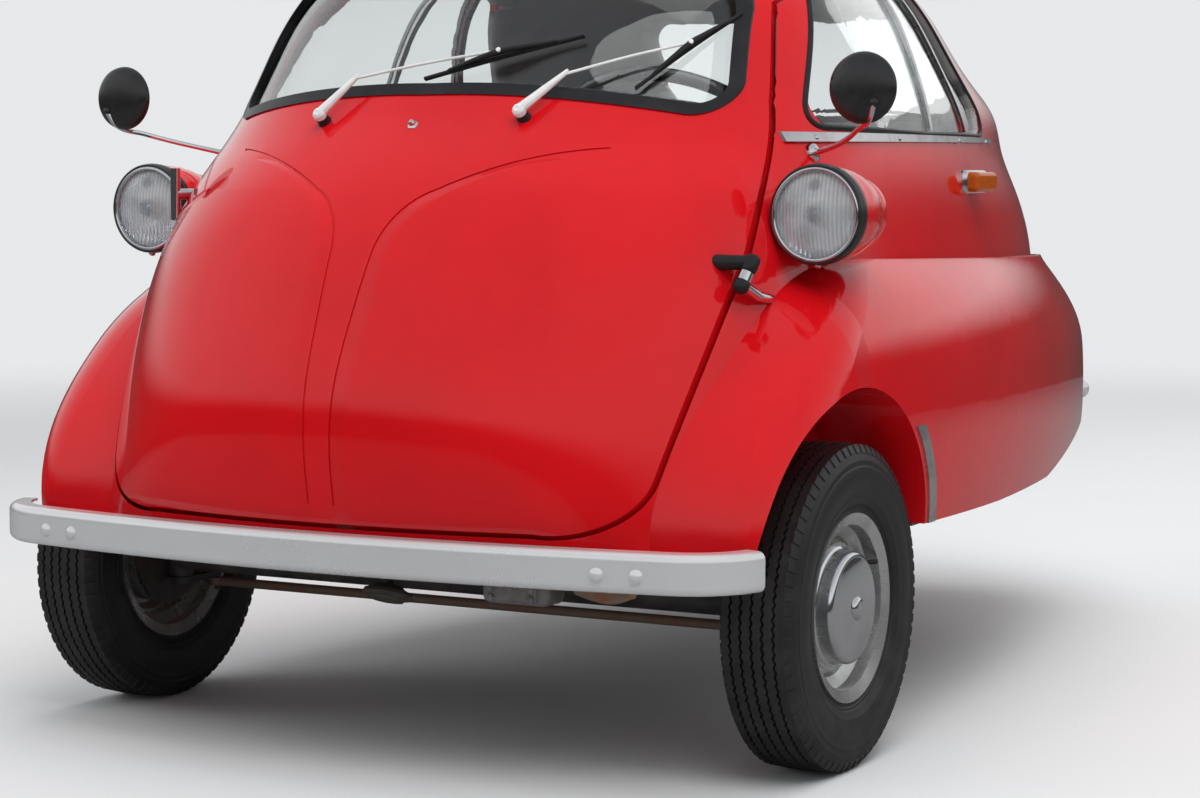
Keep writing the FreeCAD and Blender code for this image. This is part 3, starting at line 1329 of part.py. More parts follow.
def rear_rim():
    """Rear wheel rim with a plain disc, fixed on the turning axle."""
    t = RIM_T
    half = RIM_HALF
    band = [
        (FLANGE_R, half + 1), (BEAD_R, half - 4), (BEAD_R, 22), (WELL_R, 12), (WELL_R, -12), (BEAD_R, -22),
        (BEAD_R, -half + 4), (FLANGE_R, -half - 1), (FLANGE_R, -half - 1 - t), (BEAD_R - t, -half + 2),
        (BEAD_R - t, -22 - t / 2), (WELL_R - t, -12 - t / 2), (WELL_R - t, 12 + t / 2),
        (BEAD_R - t, 22 + t / 2), (BEAD_R - t, half - 2), (FLANGE_R, half + 1 + t),
    ]
    disc = [
        (WELL_R, 8), (96, 8), (80, 20), (0, 20), (0, -40), (HUB_R, -40), (HUB_R, 16), (78, 16),
        (92, 4), (WELL_R, 4),
    ]
    wheel = turned(chain_of(band), REAR_HUB, 1).fuse(turned(chain_of(disc), REAR_HUB, 1))
    return wheel.fuse(rear_axle()).removeSplitter()


build()
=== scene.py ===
"""Bubble car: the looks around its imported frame, laid out as an add-on."""

import math

import bpy
from mathutils import Matrix, Vector


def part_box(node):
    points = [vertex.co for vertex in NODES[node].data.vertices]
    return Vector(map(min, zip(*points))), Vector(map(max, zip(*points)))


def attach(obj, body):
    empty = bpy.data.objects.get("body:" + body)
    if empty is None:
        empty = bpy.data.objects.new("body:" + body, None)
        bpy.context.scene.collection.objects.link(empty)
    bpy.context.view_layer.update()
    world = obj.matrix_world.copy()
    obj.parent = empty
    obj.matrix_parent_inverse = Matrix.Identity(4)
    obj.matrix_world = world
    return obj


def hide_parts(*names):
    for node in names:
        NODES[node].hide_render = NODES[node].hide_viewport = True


bl_info = {
    "name": "Bubble Car Dressing",
    "version": (1, 0, 0),
    "blender": (4, 5, 0),
    "location": "View3D > Sidebar > Bubble Car",
    "description": "Finishes and fine pieces of a bubble car around its CAD frame",
    "category": "Object",
}

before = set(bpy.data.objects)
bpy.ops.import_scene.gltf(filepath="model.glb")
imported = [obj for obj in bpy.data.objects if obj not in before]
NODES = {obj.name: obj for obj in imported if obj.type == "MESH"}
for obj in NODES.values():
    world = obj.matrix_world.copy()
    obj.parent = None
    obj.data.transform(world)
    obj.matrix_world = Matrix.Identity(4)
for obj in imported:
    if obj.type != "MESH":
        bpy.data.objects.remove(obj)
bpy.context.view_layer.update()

# Places come as millimetres across, behind the front axle and up
MM = 0.001
FRONT_AXLE_Y = -0.7325
FORWARD = Vector((0.0, -1.0, 0.0))
REARWARD = Vector((0.0, 1.0, 0.0))
OUTWARD = Vector((1.0, 0.0, 0.0))
UPWARD = Vector((0.0, 0.0, 1.0))
TOUCH = 1e-6


def spot(across, behind, up):
    """A place of the car, in metres."""
    return Vector((across * MM, FRONT_AXLE_Y + behind * MM, up * MM))


def shift(across, behind, up):
    """A move between two places, in metres."""
    return Vector((across, behind, up)) * MM

# Places and sizes that several pieces share; single numbers are in millimetres
WHEEL_X = 620.0
TYRE_R = 245.0
REAR_AXLE = 1500.0
LAMP = spot(611, -14, 825)
LENS_R = 65.7
MIRROR_HEAD = spot(676, 0, 1010)
HINGE_LOW = spot(455, -345, 326)
HINGE_HIGH = spot(548, -112, 742)
STEERING_HUB = spot(270, 215, 915)
STEERING_WAY = Vector((-0.0454, 0.6465, 0.7615))
CABIN_MIDDLE = spot(0, 450, 850)
LINER_LIFT = 0.0012

# Colours that more than one finish or stage piece uses
DUST = (0.22, 0.19, 0.16)
BACKDROP = (0.80, 0.81, 0.82)
ZENITH = (0.50, 0.52, 0.56)
FLAG = (0.075, 0.072, 0.070)
FLOOR_SEEN = ((0.70, 0.705, 0.71), (0.73, 0.735, 0.74))
FLOOR_REFLECTED = (0.20, 0.20, 0.20)


# Shader helpers

NUMBER = "NodeSocketFloat"
VECTOR = "NodeSocketVector"


def new_group(name, inputs, outputs):
    """A shader group: number inputs with their defaults, and outputs with their kinds."""
    tree = bpy.data.node_groups.new(name, "ShaderNodeTree")
    for label, default in inputs.items():
        socket = tree.interface.new_socket(label, in_out="INPUT", socket_type=NUMBER)
        socket.default_value = default
    for label, kind in outputs.items():
        tree.interface.new_socket(label, in_out="OUTPUT", socket_type=kind)
    given = tree.nodes.new("NodeGroupInput").outputs
    return tree, given, tree.nodes.new("NodeGroupOutput").inputs


def link(tree, start, end):
    tree.links.new(start, end)


def feed(tree, socket, value):
    """Sets a socket to a number, or links it to another node's output."""
    if isinstance(value, (int, float)):
        socket.default_value = value
    else:
        link(tree, value, socket)


def math_node(tree, operation, first, second=0.0, clamp=False):
    node = tree.nodes.new("ShaderNodeMath")
    node.operation = operation
    node.use_clamp = clamp
    feed(tree, node.inputs[0], first)
    feed(tree, node.inputs[1], second)
    return node.outputs[0]


def times(tree, first, second, clamp=False):
    return math_node(tree, "MULTIPLY", first, second, clamp)


def plus(tree, first, second, clamp=False):
    return math_node(tree, "ADD", first, second, clamp)


def minus(tree, first, second):
    return math_node(tree, "SUBTRACT", first, second)


def object_place(tree):
    return tree.nodes.new("ShaderNodeTexCoord").outputs["Object"]


def split_place(tree):
    node = tree.nodes.new("ShaderNodeSeparateXYZ")
    link(tree, object_place(tree), node.inputs[0])
    return node.outputs


def noise(tree, place, scale, detail=3.0, roughness=0.5):
    node = tree.nodes.new("ShaderNodeTexNoise")
    node.inputs["Detail"].default_value = detail
    node.inputs["Roughness"].default_value = roughness
    link(tree, place, node.inputs["Vector"])
    feed(tree, node.inputs["Scale"], scale)
    return node.outputs["Fac"]


def span(tree, value, low, high, to_low=0.0, to_high=1.0, smooth=False):
    node = tree.nodes.new("ShaderNodeMapRange")
    if smooth:
        node.interpolation_type = "SMOOTHSTEP"
    link(tree, value, node.inputs["Value"])
    for name, number in (("From Min", low), ("From Max", high), ("To Min", to_low), ("To Max", to_high)):
        feed(tree, node.inputs[name], number)
    return node.outputs["Result"]


def blended(tree, share, first, second):
    node = tree.nodes.new("ShaderNodeMix")
    node.data_type = "RGBA"
    link(tree, share, node.inputs["Factor"])
    for socket, value in ((node.inputs[6], first), (node.inputs[7], second)):
        if isinstance(value, (tuple, list)):
            socket.default_value = (*value[:3], 1.0)
        else:
            link(tree, value, socket)
    return node.outputs[2]


def bumped(tree, height, strength, distance=0.001, under=None):
    node = tree.nodes.new("ShaderNodeBump")
    node.inputs["Distance"].default_value = distance
    link(tree, height, node.inputs["Height"])
    feed(tree, node.inputs["Strength"], strength)
    if under is not None:
        link(tree, under, node.inputs["Normal"])
    return node.outputs["Normal"]


def ripple(tree, value, turns, to_low=0.0):
    """Soft stripes across a value, between a low share and 1."""
    return span(tree, math_node(tree, "SINE", times(tree, value, turns)), -1.0, 1.0, to_low, 1.0)


def shaders_mixed(tree, share, first, second, output):
    """Two shaders mixed by a share, as the surface of an output."""
    mix = tree.nodes.new("ShaderNodeMixShader")
    for socket, value in zip(mix.inputs, (share, first, second)):
        link(tree, value, socket)
    link(tree, mix.outputs[0], tree.nodes[output].inputs["Surface"])


# Shader groups that several finishes share


def mottle_group():
    """Soft patches, between two levels of a noise."""
    tree, given, out = new_group("Mottle", {"Scale": 6.0, "Low": 0.4, "High": 0.7}, {"Mask": NUMBER})
    value = noise(tree, object_place(tree), given["Scale"], 6.0, 0.6)
    link(tree, span(tree, value, given["Low"], given["High"]), out["Mask"])


def grain_group():
    """Fine unevenness of a surface."""
    inputs = {"Scale": 400.0, "Strength": 0.1}
    tree, given, out = new_group("Grain", inputs, {"Normal": VECTOR, "Height": NUMBER})
    value = noise(tree, object_place(tree), given["Scale"], 2.0)
    link(tree, bumped(tree, value, given["Strength"]), out["Normal"])
    link(tree, value, out["Height"])


def dust_group():
    """Spots of road dust, thicker low down."""
    tree, given, out = new_group("Road dust", {"Foot": 0.10, "Head": 0.45, "Amount": 0.5}, {"Mask": NUMBER})
    low = span(tree, split_place(tree)[2], given["Foot"], given["Head"], 1.0, 0.0)
    spots = span(tree, noise(tree, object_place(tree), 24.0, 8.0, 0.7), 0.35, 0.75)
    link(tree, times(tree, times(tree, low, spots), given["Amount"], True), out["Mask"])


def weave_group():
    """Crossing threads of cloth."""
    inputs = {"Pitch": 900.0, "Strength": 0.5}
    tree, given, out = new_group("Weave", inputs, {"Normal": VECTOR, "Mask": NUMBER})
    place = split_place(tree)
    turns = [times(tree, place[axis], given["Pitch"]) for axis in range(3)]
    across, along, up = (math_node(tree, "SINE", turn) for turn in turns)
    threads = plus(tree, times(tree, across, along), times(tree, along, up))
    threads = plus(tree, threads, times(tree, across, up))
    value = span(tree, threads, -1.5, 1.5)
    link(tree, bumped(tree, value, given["Strength"], 0.0006), out["Normal"])
    link(tree, value, out["Mask"])


def placed_group(tree, name, **values):
    node = tree.nodes.new("ShaderNodeGroup")
    node.node_tree = bpy.data.node_groups[name]
    for key, value in values.items():
        node.inputs[key].default_value = value
    return node


def new_material(name, **values):
    """A material and its Principled shader, with constants set on the shader's own sockets."""
    material = bpy.data.materials.new(name)
    material.use_nodes = True
    shader = material.node_tree.nodes["Principled BSDF"]
    for key, value in values.items():
        socket = shader.inputs[key.replace("_", " ")]
        socket.default_value = (*value, 1.0) if isinstance(value, tuple) else value
    return material, material.node_tree, shader


def soiled(name, clean, soil, clean_rough, soil_rough, scale=5.0, grain=(300.0, 0.05), dust=0.35, **values):
    """A finish that changes in soft patches, with a fine grain and with road dust low down."""
    material, tree, shader = new_material(name, **values)
    mask = placed_group(tree, "Mottle", Scale=scale, Low=0.45, High=0.75).outputs["Mask"]
    road = placed_group(tree, "Road dust", Amount=dust).outputs["Mask"]
    tint = blended(tree, mask, clean, soil)
    link(tree, blended(tree, road, tint, DUST), shader.inputs["Base Color"])
    rough = span(tree, mask, 0.0, 1.0, clean_rough, soil_rough)
    link(tree, plus(tree, rough, times(tree, road, 0.5), True), shader.inputs["Roughness"])
    fine = placed_group(tree, "Grain", Scale=grain[0], Strength=grain[1])
    link(tree, fine.outputs["Normal"], shader.inputs["Normal"])
    return material


# Channel pressed into the hood, as (height, half width) in metres, and the bounds in which it shows
CREASE_HALF = [(0.400, 0.024), (0.557, 0.025), (0.638, 0.031), (0.714, 0.035), (0.780, 0.039), (0.825, 0.063),
               (0.859, 0.107), (0.887, 0.167), (0.906, 0.256)]
CREASE_EDGE = (-0.012, 0.030)
CREASE_FRONT = (-0.70, -0.75)
CREASE_HEAD = (0.93, 0.86)
CREASE_DEPTH = 0.0080
SILL_FLANGE = (0.344, 0.352)
PRIMER = (0.10, 0.05, 0.035)


def hood_channel(tree, place):
    """Height of the hood's panel: low inside the channel, and faded out off the hood."""
    ramp = tree.nodes.new("ShaderNodeFloatCurve")
    curve = ramp.mapping.curves[0]
    foot, head = CREASE_HALF[0][0], CREASE_HALF[-1][0]
    widest = CREASE_HALF[-1][1]
    points = [((height - foot) / (head - foot), half / widest) for height, half in CREASE_HALF]
    for x, y in points[1:-1]:
        curve.points.new(x, y)
    curve.points[0].location = points[0]
    curve.points[len(points) - 1].location = points[-1]
    ramp.mapping.update()
    link(tree, span(tree, place[2], foot, head), ramp.inputs["Value"])
    half = times(tree, ramp.outputs["Value"], widest)
    beyond = minus(tree, math_node(tree, "ABSOLUTE", place[0]), half)
    rise = span(tree, beyond, *CREASE_EDGE, 0.0, 1.0, True)
    fade = times(tree, span(tree, place[1], *CREASE_FRONT), span(tree, place[2], *CREASE_HEAD))
    return times(tree, rise, fade)


def body_paint(red):
    """Gloss red over primer: ripples of the spray gun, a chipped sill flange and the hood's channel."""
    deep = tuple(c * 0.84 for c in red)
    material = soiled("gloss_body_paint", red, deep, 0.07, 0.12, 3.0, grain=(16.0, 0.010), dust=0.08,
                      Coat_Weight=1.0, Coat_Roughness=0.02, Coat_IOR=1.38, Specular_IOR_Level=0.12)
    tree = material.node_tree
    shader = tree.nodes["Principled BSDF"]
    place = split_place(tree)
    chips = span(tree, noise(tree, object_place(tree), 95.0, 5.0, 0.75), 0.62, 0.64)
    bare = times(tree, chips, span(tree, place[2], *SILL_FLANGE, 1.0, 0.0))
    base = shader.inputs["Base Color"].links[0].from_socket
    link(tree, blended(tree, bare, base, PRIMER), shader.inputs["Base Color"])
    link(tree, span(tree, bare, 0.0, 1.0, 0.85, 0.0), shader.inputs["Coat Weight"])
    ripples = shader.inputs["Normal"].links[0].from_socket
    link(tree, bumped(tree, hood_channel(tree, place), 1.0, CREASE_DEPTH, ripples), shader.inputs["Normal"])


def paints(colours):
    """Painted steel of the frame, wheels, bumpers, floor and wipers."""
    soiled("black_frame_paint", (0.018, 0.018, 0.019), (0.05, 0.035, 0.028), 0.45, 0.75, 9.0)
    soiled("silver_wheel_paint", tuple(colours.wheel_silver), (0.40, 0.40, 0.39), 0.24, 0.34, 14.0,
           grain=(1500.0, 0.03), dust=0.18, Metallic=0.85, Coat_Weight=0.4, Coat_Roughness=0.08)
    soiled("silver_bumper_paint", tuple(colours.bumper_silver), (0.66, 0.66, 0.66), 0.26, 0.30, 3.0,
           grain=(1200.0, 0.02), dust=0.0, Metallic=0.45, Coat_Weight=0.5, Coat_Roughness=0.08)
    soiled("dull_floor_paint", (0.07, 0.07, 0.068), (0.12, 0.11, 0.10), 0.55, 0.8, 7.0)
    soiled("wiper_paint", (0.70, 0.70, 0.69), (0.58, 0.58, 0.57), 0.22, 0.34, 20.0)


def metals():
    """Bare and plated metals."""
    soiled("brushed_alloy", (0.66, 0.66, 0.67), (0.48, 0.48, 0.49), 0.22, 0.36, 20.0,
           grain=(900.0, 0.05), Metallic=1.0)
    soiled("cast_alloy", (0.34, 0.34, 0.34), (0.16, 0.14, 0.12), 0.5, 0.75, 12.0,
           grain=(250.0, 0.3), Metallic=0.8)
    soiled("bright_chrome", (0.74, 0.75, 0.77), (0.60, 0.61, 0.63), 0.04, 0.09, 12.0,
           grain=(60.0, 0.006), dust=0.04, Metallic=1.0)
    soiled("mirror_silver", (0.88, 0.89, 0.90), (0.80, 0.81, 0.82), 0.01, 0.03, 8.0,
           grain=(60.0, 0.002), dust=0.0, Metallic=1.0)
    soiled("rusty_steel", (0.21, 0.15, 0.11), (0.27, 0.10, 0.04), 0.55, 0.85, 18.0, grain=(300.0, 0.3),
           Metallic=0.4)


def rubbers_and_plastics(colours):
    """Rubbers, plastics, linings and the mat."""
    soiled("black_rubber", (0.012, 0.012, 0.013), (0.024, 0.024, 0.025), 0.34, 0.5, 12.0,
           grain=(500.0, 0.06), Specular_IOR_Level=0.3)
    soiled("tyre_rubber", tuple(colours.tyre_black), (0.016, 0.0155, 0.015), 0.40, 0.58, 11.0,
           grain=(600.0, 0.12), dust=0.10)
    soiled("smooth_plastic", (0.012, 0.012, 0.013), (0.022, 0.022, 0.022), 0.25, 0.4, 15.0,
           grain=(700.0, 0.04))
    soiled("ivory_plastic", (0.60, 0.58, 0.52), (0.5, 0.48, 0.42), 0.22, 0.35, 12.0)
    soiled("pale_liner", (0.36, 0.36, 0.355), (0.30, 0.30, 0.295), 0.6, 0.75, 8.0, grain=(900.0, 0.25))
    soiled("dial_face", (0.015, 0.015, 0.016), (0.022, 0.022, 0.022), 0.4, 0.5, 30.0)
    soiled("woven_mat", (0.035, 0.034, 0.032), (0.06, 0.055, 0.05), 0.85, 0.95, 40.0, grain=(1400.0, 0.6))


# Lamps, in metres: turns over a metre of the painted highlights on the flutes and cross blocks, painted shade
# over the bulb and its cap as (height, inner radius, outer radius), and a band of painted shade below the
# middle
GLASS_GLINT_TURNS = 1000.0
BOWL_GLINT_TURNS = 838.0
BOWL_BLOCK_GLINT_TURNS = 420.0
BLOCK_GLINTS_FROM = (0.012, 0.020)
BULB_SHADE_SPOTS = ((0.0, 0.005, 0.020), (0.044, 0.005, 0.013))
SHADE_BAND_DROP = 0.012
SHADE_BAND_HALF = (0.006, 0.030)
SHADED = 0.35


def lamp_place(tree):
    """Places on both lamps, sideways and upwards from the lamp's middle."""
    place = split_place(tree)
    side = minus(tree, math_node(tree, "ABSOLUTE", place[0]), LAMP.x)
    return side, minus(tree, place[2], LAMP.z)


def lamp_glass_painted_light(tree, shader):
    """Colour of the lamp glass: painted highlights along the upright flutes, painted shade over the bulb and
    its cap.
    """
    side, rise = lamp_place(tree)
    # Bright stripes along the flutes: painted highlights
    glass_light = ripple(tree, side, GLASS_GLINT_TURNS, 0.55)
    # Dark spots over the bulb and its cap: painted shade
    for height, inner, outer in BULB_SHADE_SPOTS:
        squares = plus(tree, math_node(tree, "POWER", minus(tree, rise, height), 2.0),
                       math_node(tree, "POWER", side, 2.0))
        away = math_node(tree, "POWER", squares, 0.5)
        glass_light = times(tree, glass_light, span(tree, away, inner, outer, SHADED, 1.0, True))
    cloud = span(tree, noise(tree, object_place(tree), 28.0, 2.0), 0.35, 0.60, 0.7, 1.0)
    glass_light = times(tree, glass_light, cloud)
    # Bluish grey to white: painted shade to painted highlight
    link(tree, blended(tree, glass_light, (0.34, 0.37, 0.41), (0.97, 0.99, 1.0)), shader.inputs["Base Color"])


def glasses():
    """Clear panes, lamp glasses and coloured lenses, with faint smears."""
    for name, tint, weight, rough, scale, strength in (
            ("window_glass", (0.95, 0.98, 0.97), 1.0, 0.0, 6.0, 0.002),
            ("fluted_glass", (0.98, 0.99, 1.0), 0.70, 0.01, 30.0, 0.004),
            ("amber_lens", (0.56, 0.12, 0.015), 0.35, 0.10, 60.0, 0.02),
            ("red_lens", (0.65, 0.01, 0.01), 0.45, 0.10, 60.0, 0.02)):
        material, tree, shader = new_material(
            name, Base_Color=tint, Transmission_Weight=weight, IOR=1.45, Metallic=0.0)
        fine = placed_group(tree, "Grain", Scale=scale, Strength=strength)
        link(tree, fine.outputs["Normal"], shader.inputs["Normal"])
        smear = placed_group(tree, "Mottle", Scale=5.0, Low=0.5, High=0.8).outputs["Mask"]
        link(tree, span(tree, smear, 0.0, 1.0, rough, rough + 0.02), shader.inputs["Roughness"])
        # The lamp glass's colour carries painted highlights and painted shade
        if name == "fluted_glass":
            lamp_glass_painted_light(tree, shader)


def lamp_bowl():
    """Bright metal with painted highlights in upright stripes and a cross row of blocks, and a band of
    painted shade.
    """
    material, tree, shader = new_material("lamp_bowl", Metallic=1.0)
    side, rise = lamp_place(tree)
    # A cross row of blocks: painted highlights
    crossed_glints = times(tree, ripple(tree, rise, BOWL_BLOCK_GLINT_TURNS), span(tree, rise, *BLOCK_GLINTS_FROM))
    mottle = span(tree, noise(tree, object_place(tree), 45.0, 3.0), 0.3, 0.7)
    # Upright stripes: painted highlights, as the flutes would show the bowl
    bowl_light_pattern = plus(tree, times(tree, ripple(tree, side, BOWL_GLINT_TURNS), 0.55), times(tree, crossed_glints, 0.25))
    bowl_light_pattern = plus(tree, bowl_light_pattern, times(tree, mottle, 0.20), True)
    # A band below the middle: painted shade
    off_shade_band = math_node(tree, "ABSOLUTE", plus(tree, rise, SHADE_BAND_DROP))
    bowl_light_pattern = times(tree, bowl_light_pattern, span(tree, off_shade_band, *SHADE_BAND_HALF, SHADED, 1.0, True))
    # Grey to near white: painted shade to painted highlight
    link(tree, blended(tree, bowl_light_pattern, (0.42, 0.44, 0.48), (0.98, 0.98, 0.98)), shader.inputs["Base Color"])
    link(tree, span(tree, bowl_light_pattern, 0.0, 1.0, 0.10, 0.25), shader.inputs["Roughness"])
    link(tree, bumped(tree, bowl_light_pattern, 0.6, 0.002), shader.inputs["Normal"])


# Turns of the cloths' threads and stripes over a metre
BENCH_THREADS = 2600.0
BENCH_STRIPES = 95.0
ROOF_THREADS = 3600.0


def striped_cloth():
    """Cover of the bench, woven in two greys, with painted shade in the weave's hollows."""
    material, tree, shader = new_material("striped_cloth", Sheen_Weight=0.3, Sheen_Roughness=0.5)
    weave = placed_group(tree, "Weave", Pitch=BENCH_THREADS, Strength=0.6)
    stripe = math_node(tree, "SINE", times(tree, split_place(tree)[0], BENCH_STRIPES))
    tint = blended(tree, span(tree, stripe, 0.35, 0.45), (0.46, 0.45, 0.43), (0.27, 0.28, 0.30))
    # Darker where the weave's bump is low: painted shade between the threads
    shaded_weave_tint = blended(tree, weave.outputs["Mask"], (0.24, 0.23, 0.22), tint)
    link(tree, shaded_weave_tint, shader.inputs["Base Color"])
    link(tree, weave.outputs["Normal"], shader.inputs["Normal"])
    link(tree, span(tree, weave.outputs["Mask"], 0.0, 1.0, 0.75, 0.9), shader.inputs["Roughness"])


def hood_cloth():
    """Dark coated cloth of the folding roof."""
    material, tree, shader = new_material("hood_cloth", Sheen_Weight=0.15, Sheen_Roughness=0.5)
    weave = placed_group(tree, "Weave", Pitch=ROOF_THREADS, Strength=0.5)
    mask = placed_group(tree, "Mottle", Scale=8.0, Low=0.35, High=0.75).outputs["Mask"]
    link(tree, blended(tree, mask, (0.022, 0.022, 0.024), (0.045, 0.044, 0.044)), shader.inputs["Base Color"])
    link(tree, weave.outputs["Normal"], shader.inputs["Normal"])
    link(tree, span(tree, mask, 0.0, 1.0, 0.7, 0.9), shader.inputs["Roughness"])


# Finish of each CAD node
NODE_FINISH = {
    "gloss_body_paint": ("body_shell", "roof_shell", "door_skin", "engine_hatch", "headlamp_pods"),
    "dull_floor_paint": ("floor_pan", "rear_shelf", "seat_riser"),
    "black_frame_paint": ("chassis_frame", "plate_bracket", "controls", "steering_column", "knuckle_left",
                          "knuckle_right"),
    "silver_bumper_paint": ("front_bumper", "rear_bumper"),
    "silver_wheel_paint": ("front_rim_left", "front_rim_right", "rear_rim"),
    "window_glass": ("body_windows", "windscreen"),
    "fluted_glass": ("headlamp_lenses",),
    "black_rubber": ("windscreen_seal", "headlamp_rings", "door_hinge_arms"),
    "smooth_plastic": ("mirrors", "steering_wheel"),
    "brushed_alloy": ("alloy_trim",),
    "amber_lens": ("side_indicators",),
    "red_lens": ("tail_lamps",),
    "striped_cloth": ("seat_cushion", "seat_backrest"),
    "cast_alloy": ("engine_block", "rear_suspension"),
    "rusty_steel": ("exhaust", "track_rod"),
    "bright_chrome": ("hinge_brackets", "door_handle", "hub_cap_left", "hub_cap_right"),
    "wiper_paint": ("wipers",),
    "tyre_rubber": ("rear_tyre", "front_tyre_left", "front_tyre_right"),
    "hood_cloth": ("roof_fabric",),
}


# Modelling helpers: each starts with nothing selected and works as by hand


def clear():
    if bpy.context.mode != "OBJECT":
        bpy.ops.object.mode_set(mode="OBJECT")
    bpy.ops.object.select_all(action="DESELECT")


def only(obj):
    """Makes one object the selected and active one."""
    clear()
    obj.select_set(True)
    bpy.context.view_layer.objects.active = obj


def fresh(name):
    """The primitive that was just added, named, its place in its mesh."""
    obj = bpy.context.active_object
    obj.name = name
    obj.data.name = name
    bpy.ops.object.transform_apply(location=True, rotation=True, scale=True)
    return obj


def pick(obj, test, kind="FACE"):
    """Enters edit mode with the faces or vertices selected that pass the test."""
    only(obj)
    bpy.ops.object.mode_set(mode="EDIT")
    bpy.ops.mesh.select_mode(type=kind)
    bpy.ops.mesh.select_all(action="DESELECT")
    bpy.ops.object.mode_set(mode="OBJECT")
    items = obj.data.polygons if kind == "FACE" else obj.data.vertices
    for item in items:
        item.select = test(item)
    bpy.ops.object.mode_set(mode="EDIT")


def closed_up(obj, flip_check=True):
    """Merges doubles, drops loose bits and points the faces outwards."""
    only(obj)
    bpy.ops.object.mode_set(mode="EDIT")
    bpy.ops.mesh.select_all(action="SELECT")
    bpy.ops.mesh.remove_doubles(threshold=TOUCH)
    bpy.ops.mesh.dissolve_degenerate(threshold=TOUCH)
    bpy.ops.mesh.delete_loose(use_verts=True, use_edges=True, use_faces=False)
    if flip_check:
        bpy.ops.mesh.select_all(action="SELECT")
        bpy.ops.mesh.normals_make_consistent(inside=False)
    bpy.ops.object.mode_set(mode="OBJECT")
    return obj


def aimed(obj, place, way):
    """Turns a piece that was made along Z to a direction, and moves it to its place."""
    turn = Vector(way).to_track_quat("Z", "Y").to_matrix().to_4x4()
    obj.matrix_world = Matrix.Translation(place) @ turn
    only(obj)
    bpy.ops.object.transform_apply(location=True, rotation=True, scale=True)
    return obj


def spun(name, rows, place, way, steps=48):
    """A turned piece: a closed outline of (radius, height), in millimetres, spun about its direction."""
    clear()
    bpy.ops.mesh.primitive_circle_add(vertices=len(rows), radius=1.0, fill_type="NOTHING")
    obj = fresh(name)
    for vertex, (radius, height) in zip(obj.data.vertices, rows):
        vertex.co = (radius * MM, 0.0, height * MM)
    bpy.ops.object.mode_set(mode="EDIT")
    bpy.ops.mesh.select_all(action="SELECT")
    bpy.ops.mesh.spin(steps=steps, angle=math.tau, center=(0.0, 0.0, 0.0), axis=(0.0, 0.0, 1.0))
    closed_up(obj)
    return aimed(obj, place, way)


def rod_run(name, points, radius, widths=None, flat=0.0, sides=3, curved=True):
    """A round or flat-sided run through points, with its width at each point."""
    clear()
    bpy.ops.curve.primitive_bezier_curve_add(radius=1.0, location=(0.0, 0.0, 0.0))
    obj = bpy.context.active_object
    spline = obj.data.splines[0]
    spline.bezier_points.add(len(points) - 2)
    for number, (knot, place) in enumerate(zip(spline.bezier_points, points)):
        knot.co = place
        knot.radius = widths[number] if widths else 1.0
        knot.handle_left_type = "AUTO" if curved else "VECTOR"
        knot.handle_right_type = "AUTO" if curved else "VECTOR"
    obj.data.dimensions = "3D"
    obj.data.bevel_depth = radius * MM
    obj.data.bevel_resolution = sides
    obj.data.extrude = flat * MM
    obj.data.use_fill_caps = True
    obj.data.resolution_u = 8
    bpy.ops.object.convert(target="MESH")
    obj = fresh(name)
    return closed_up(obj)


def slab(name, low, high, corner=0.0, segments=3):
    """A block between two corner places, in metres, with its edges rounded."""
    clear()
    low, high = Vector(low), Vector(high)
    bpy.ops.mesh.primitive_cube_add(size=1.0, location=(low + high) / 2, scale=high - low)
    obj = fresh(name)
    if corner:
        modified(obj, "BEVEL", width=corner * MM, segments=segments, limit_method="ANGLE")
    return obj


def modified(obj, kind, **values):
    """Adds one modifier to a piece and applies it."""
    only(obj)
    modifier = obj.modifiers.new(kind.title(), kind)
    for key, value in values.items():
        setattr(modifier, key, value)
    bpy.ops.object.modifier_apply(modifier=modifier.name)
    return obj


def joined(name, *parts):
    """Several meshes as one piece."""
    clear()
    for part in parts:
        part.select_set(True)
    bpy.context.view_layer.objects.active = parts[0]
    bpy.ops.object.join()
    parts[0].name = name
    parts[0].data.name = name
    return parts[0]


def done(obj, finish, body, crease=32.0):
    """Settles a piece: place in its mesh, soft shading, finish and the body that carries it."""
    only(obj)
    bpy.ops.object.transform_apply(location=True, rotation=True, scale=True)
    bpy.ops.object.shade_smooth_by_angle(angle=math.radians(crease))
    obj.data.materials.clear()
    obj.data.materials.append(bpy.data.materials[finish])
    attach(obj, body)
    return obj


def copied(obj, name):
    """The piece's own copy, with its own mesh."""
    other = obj.copy()
    other.data = obj.data.copy()
    other.name = name
    other.data.name = name
    bpy.context.scene.collection.objects.link(other)
    return other


def turned(name, finish, rows, place, way, steps=48, crease=32.0, body="body"):
    """A spun piece with its finish, carried by its body."""
    return done(spun(name, rows, place, way, steps), finish, body, crease)


def opposite(*parts):
    """The mirror images of pieces of the body's left side."""
    for part in parts:
        other = copied(part, part.name.replace("left", "right"))
        other.scale.x = -1.0
        only(other)
        bpy.ops.object.transform_apply(location=True, rotation=True, scale=True)
        closed_up(other)
        done(other, part.active_material.name, "body")


# Sizes and colours that a user would change


class CarColours(bpy.types.PropertyGroup):
    """Colours a user would change."""

    body_red: bpy.props.FloatVectorProperty(
        name="Body red", description="Gloss paint of the body", subtype="COLOR", size=3,
        min=0.0, max=1.0, default=(0.60, 0.005, 0.009))
    wheel_silver: bpy.props.FloatVectorProperty(
        name="Wheel silver", description="Paint of the rims", subtype="COLOR", size=3,
        min=0.0, max=1.0, default=(0.62, 0.62, 0.61))
    bumper_silver: bpy.props.FloatVectorProperty(
        name="Bumper silver", description="Paint of the bumpers", subtype="COLOR", size=3,
        min=0.0, max=1.0, default=(0.70, 0.70, 0.71))
    tyre_black: bpy.props.FloatVectorProperty(
        name="Tyre black", description="Tyre rubber", subtype="COLOR", size=3,
        min=0.0, max=1.0, default=(0.009, 0.009, 0.010))


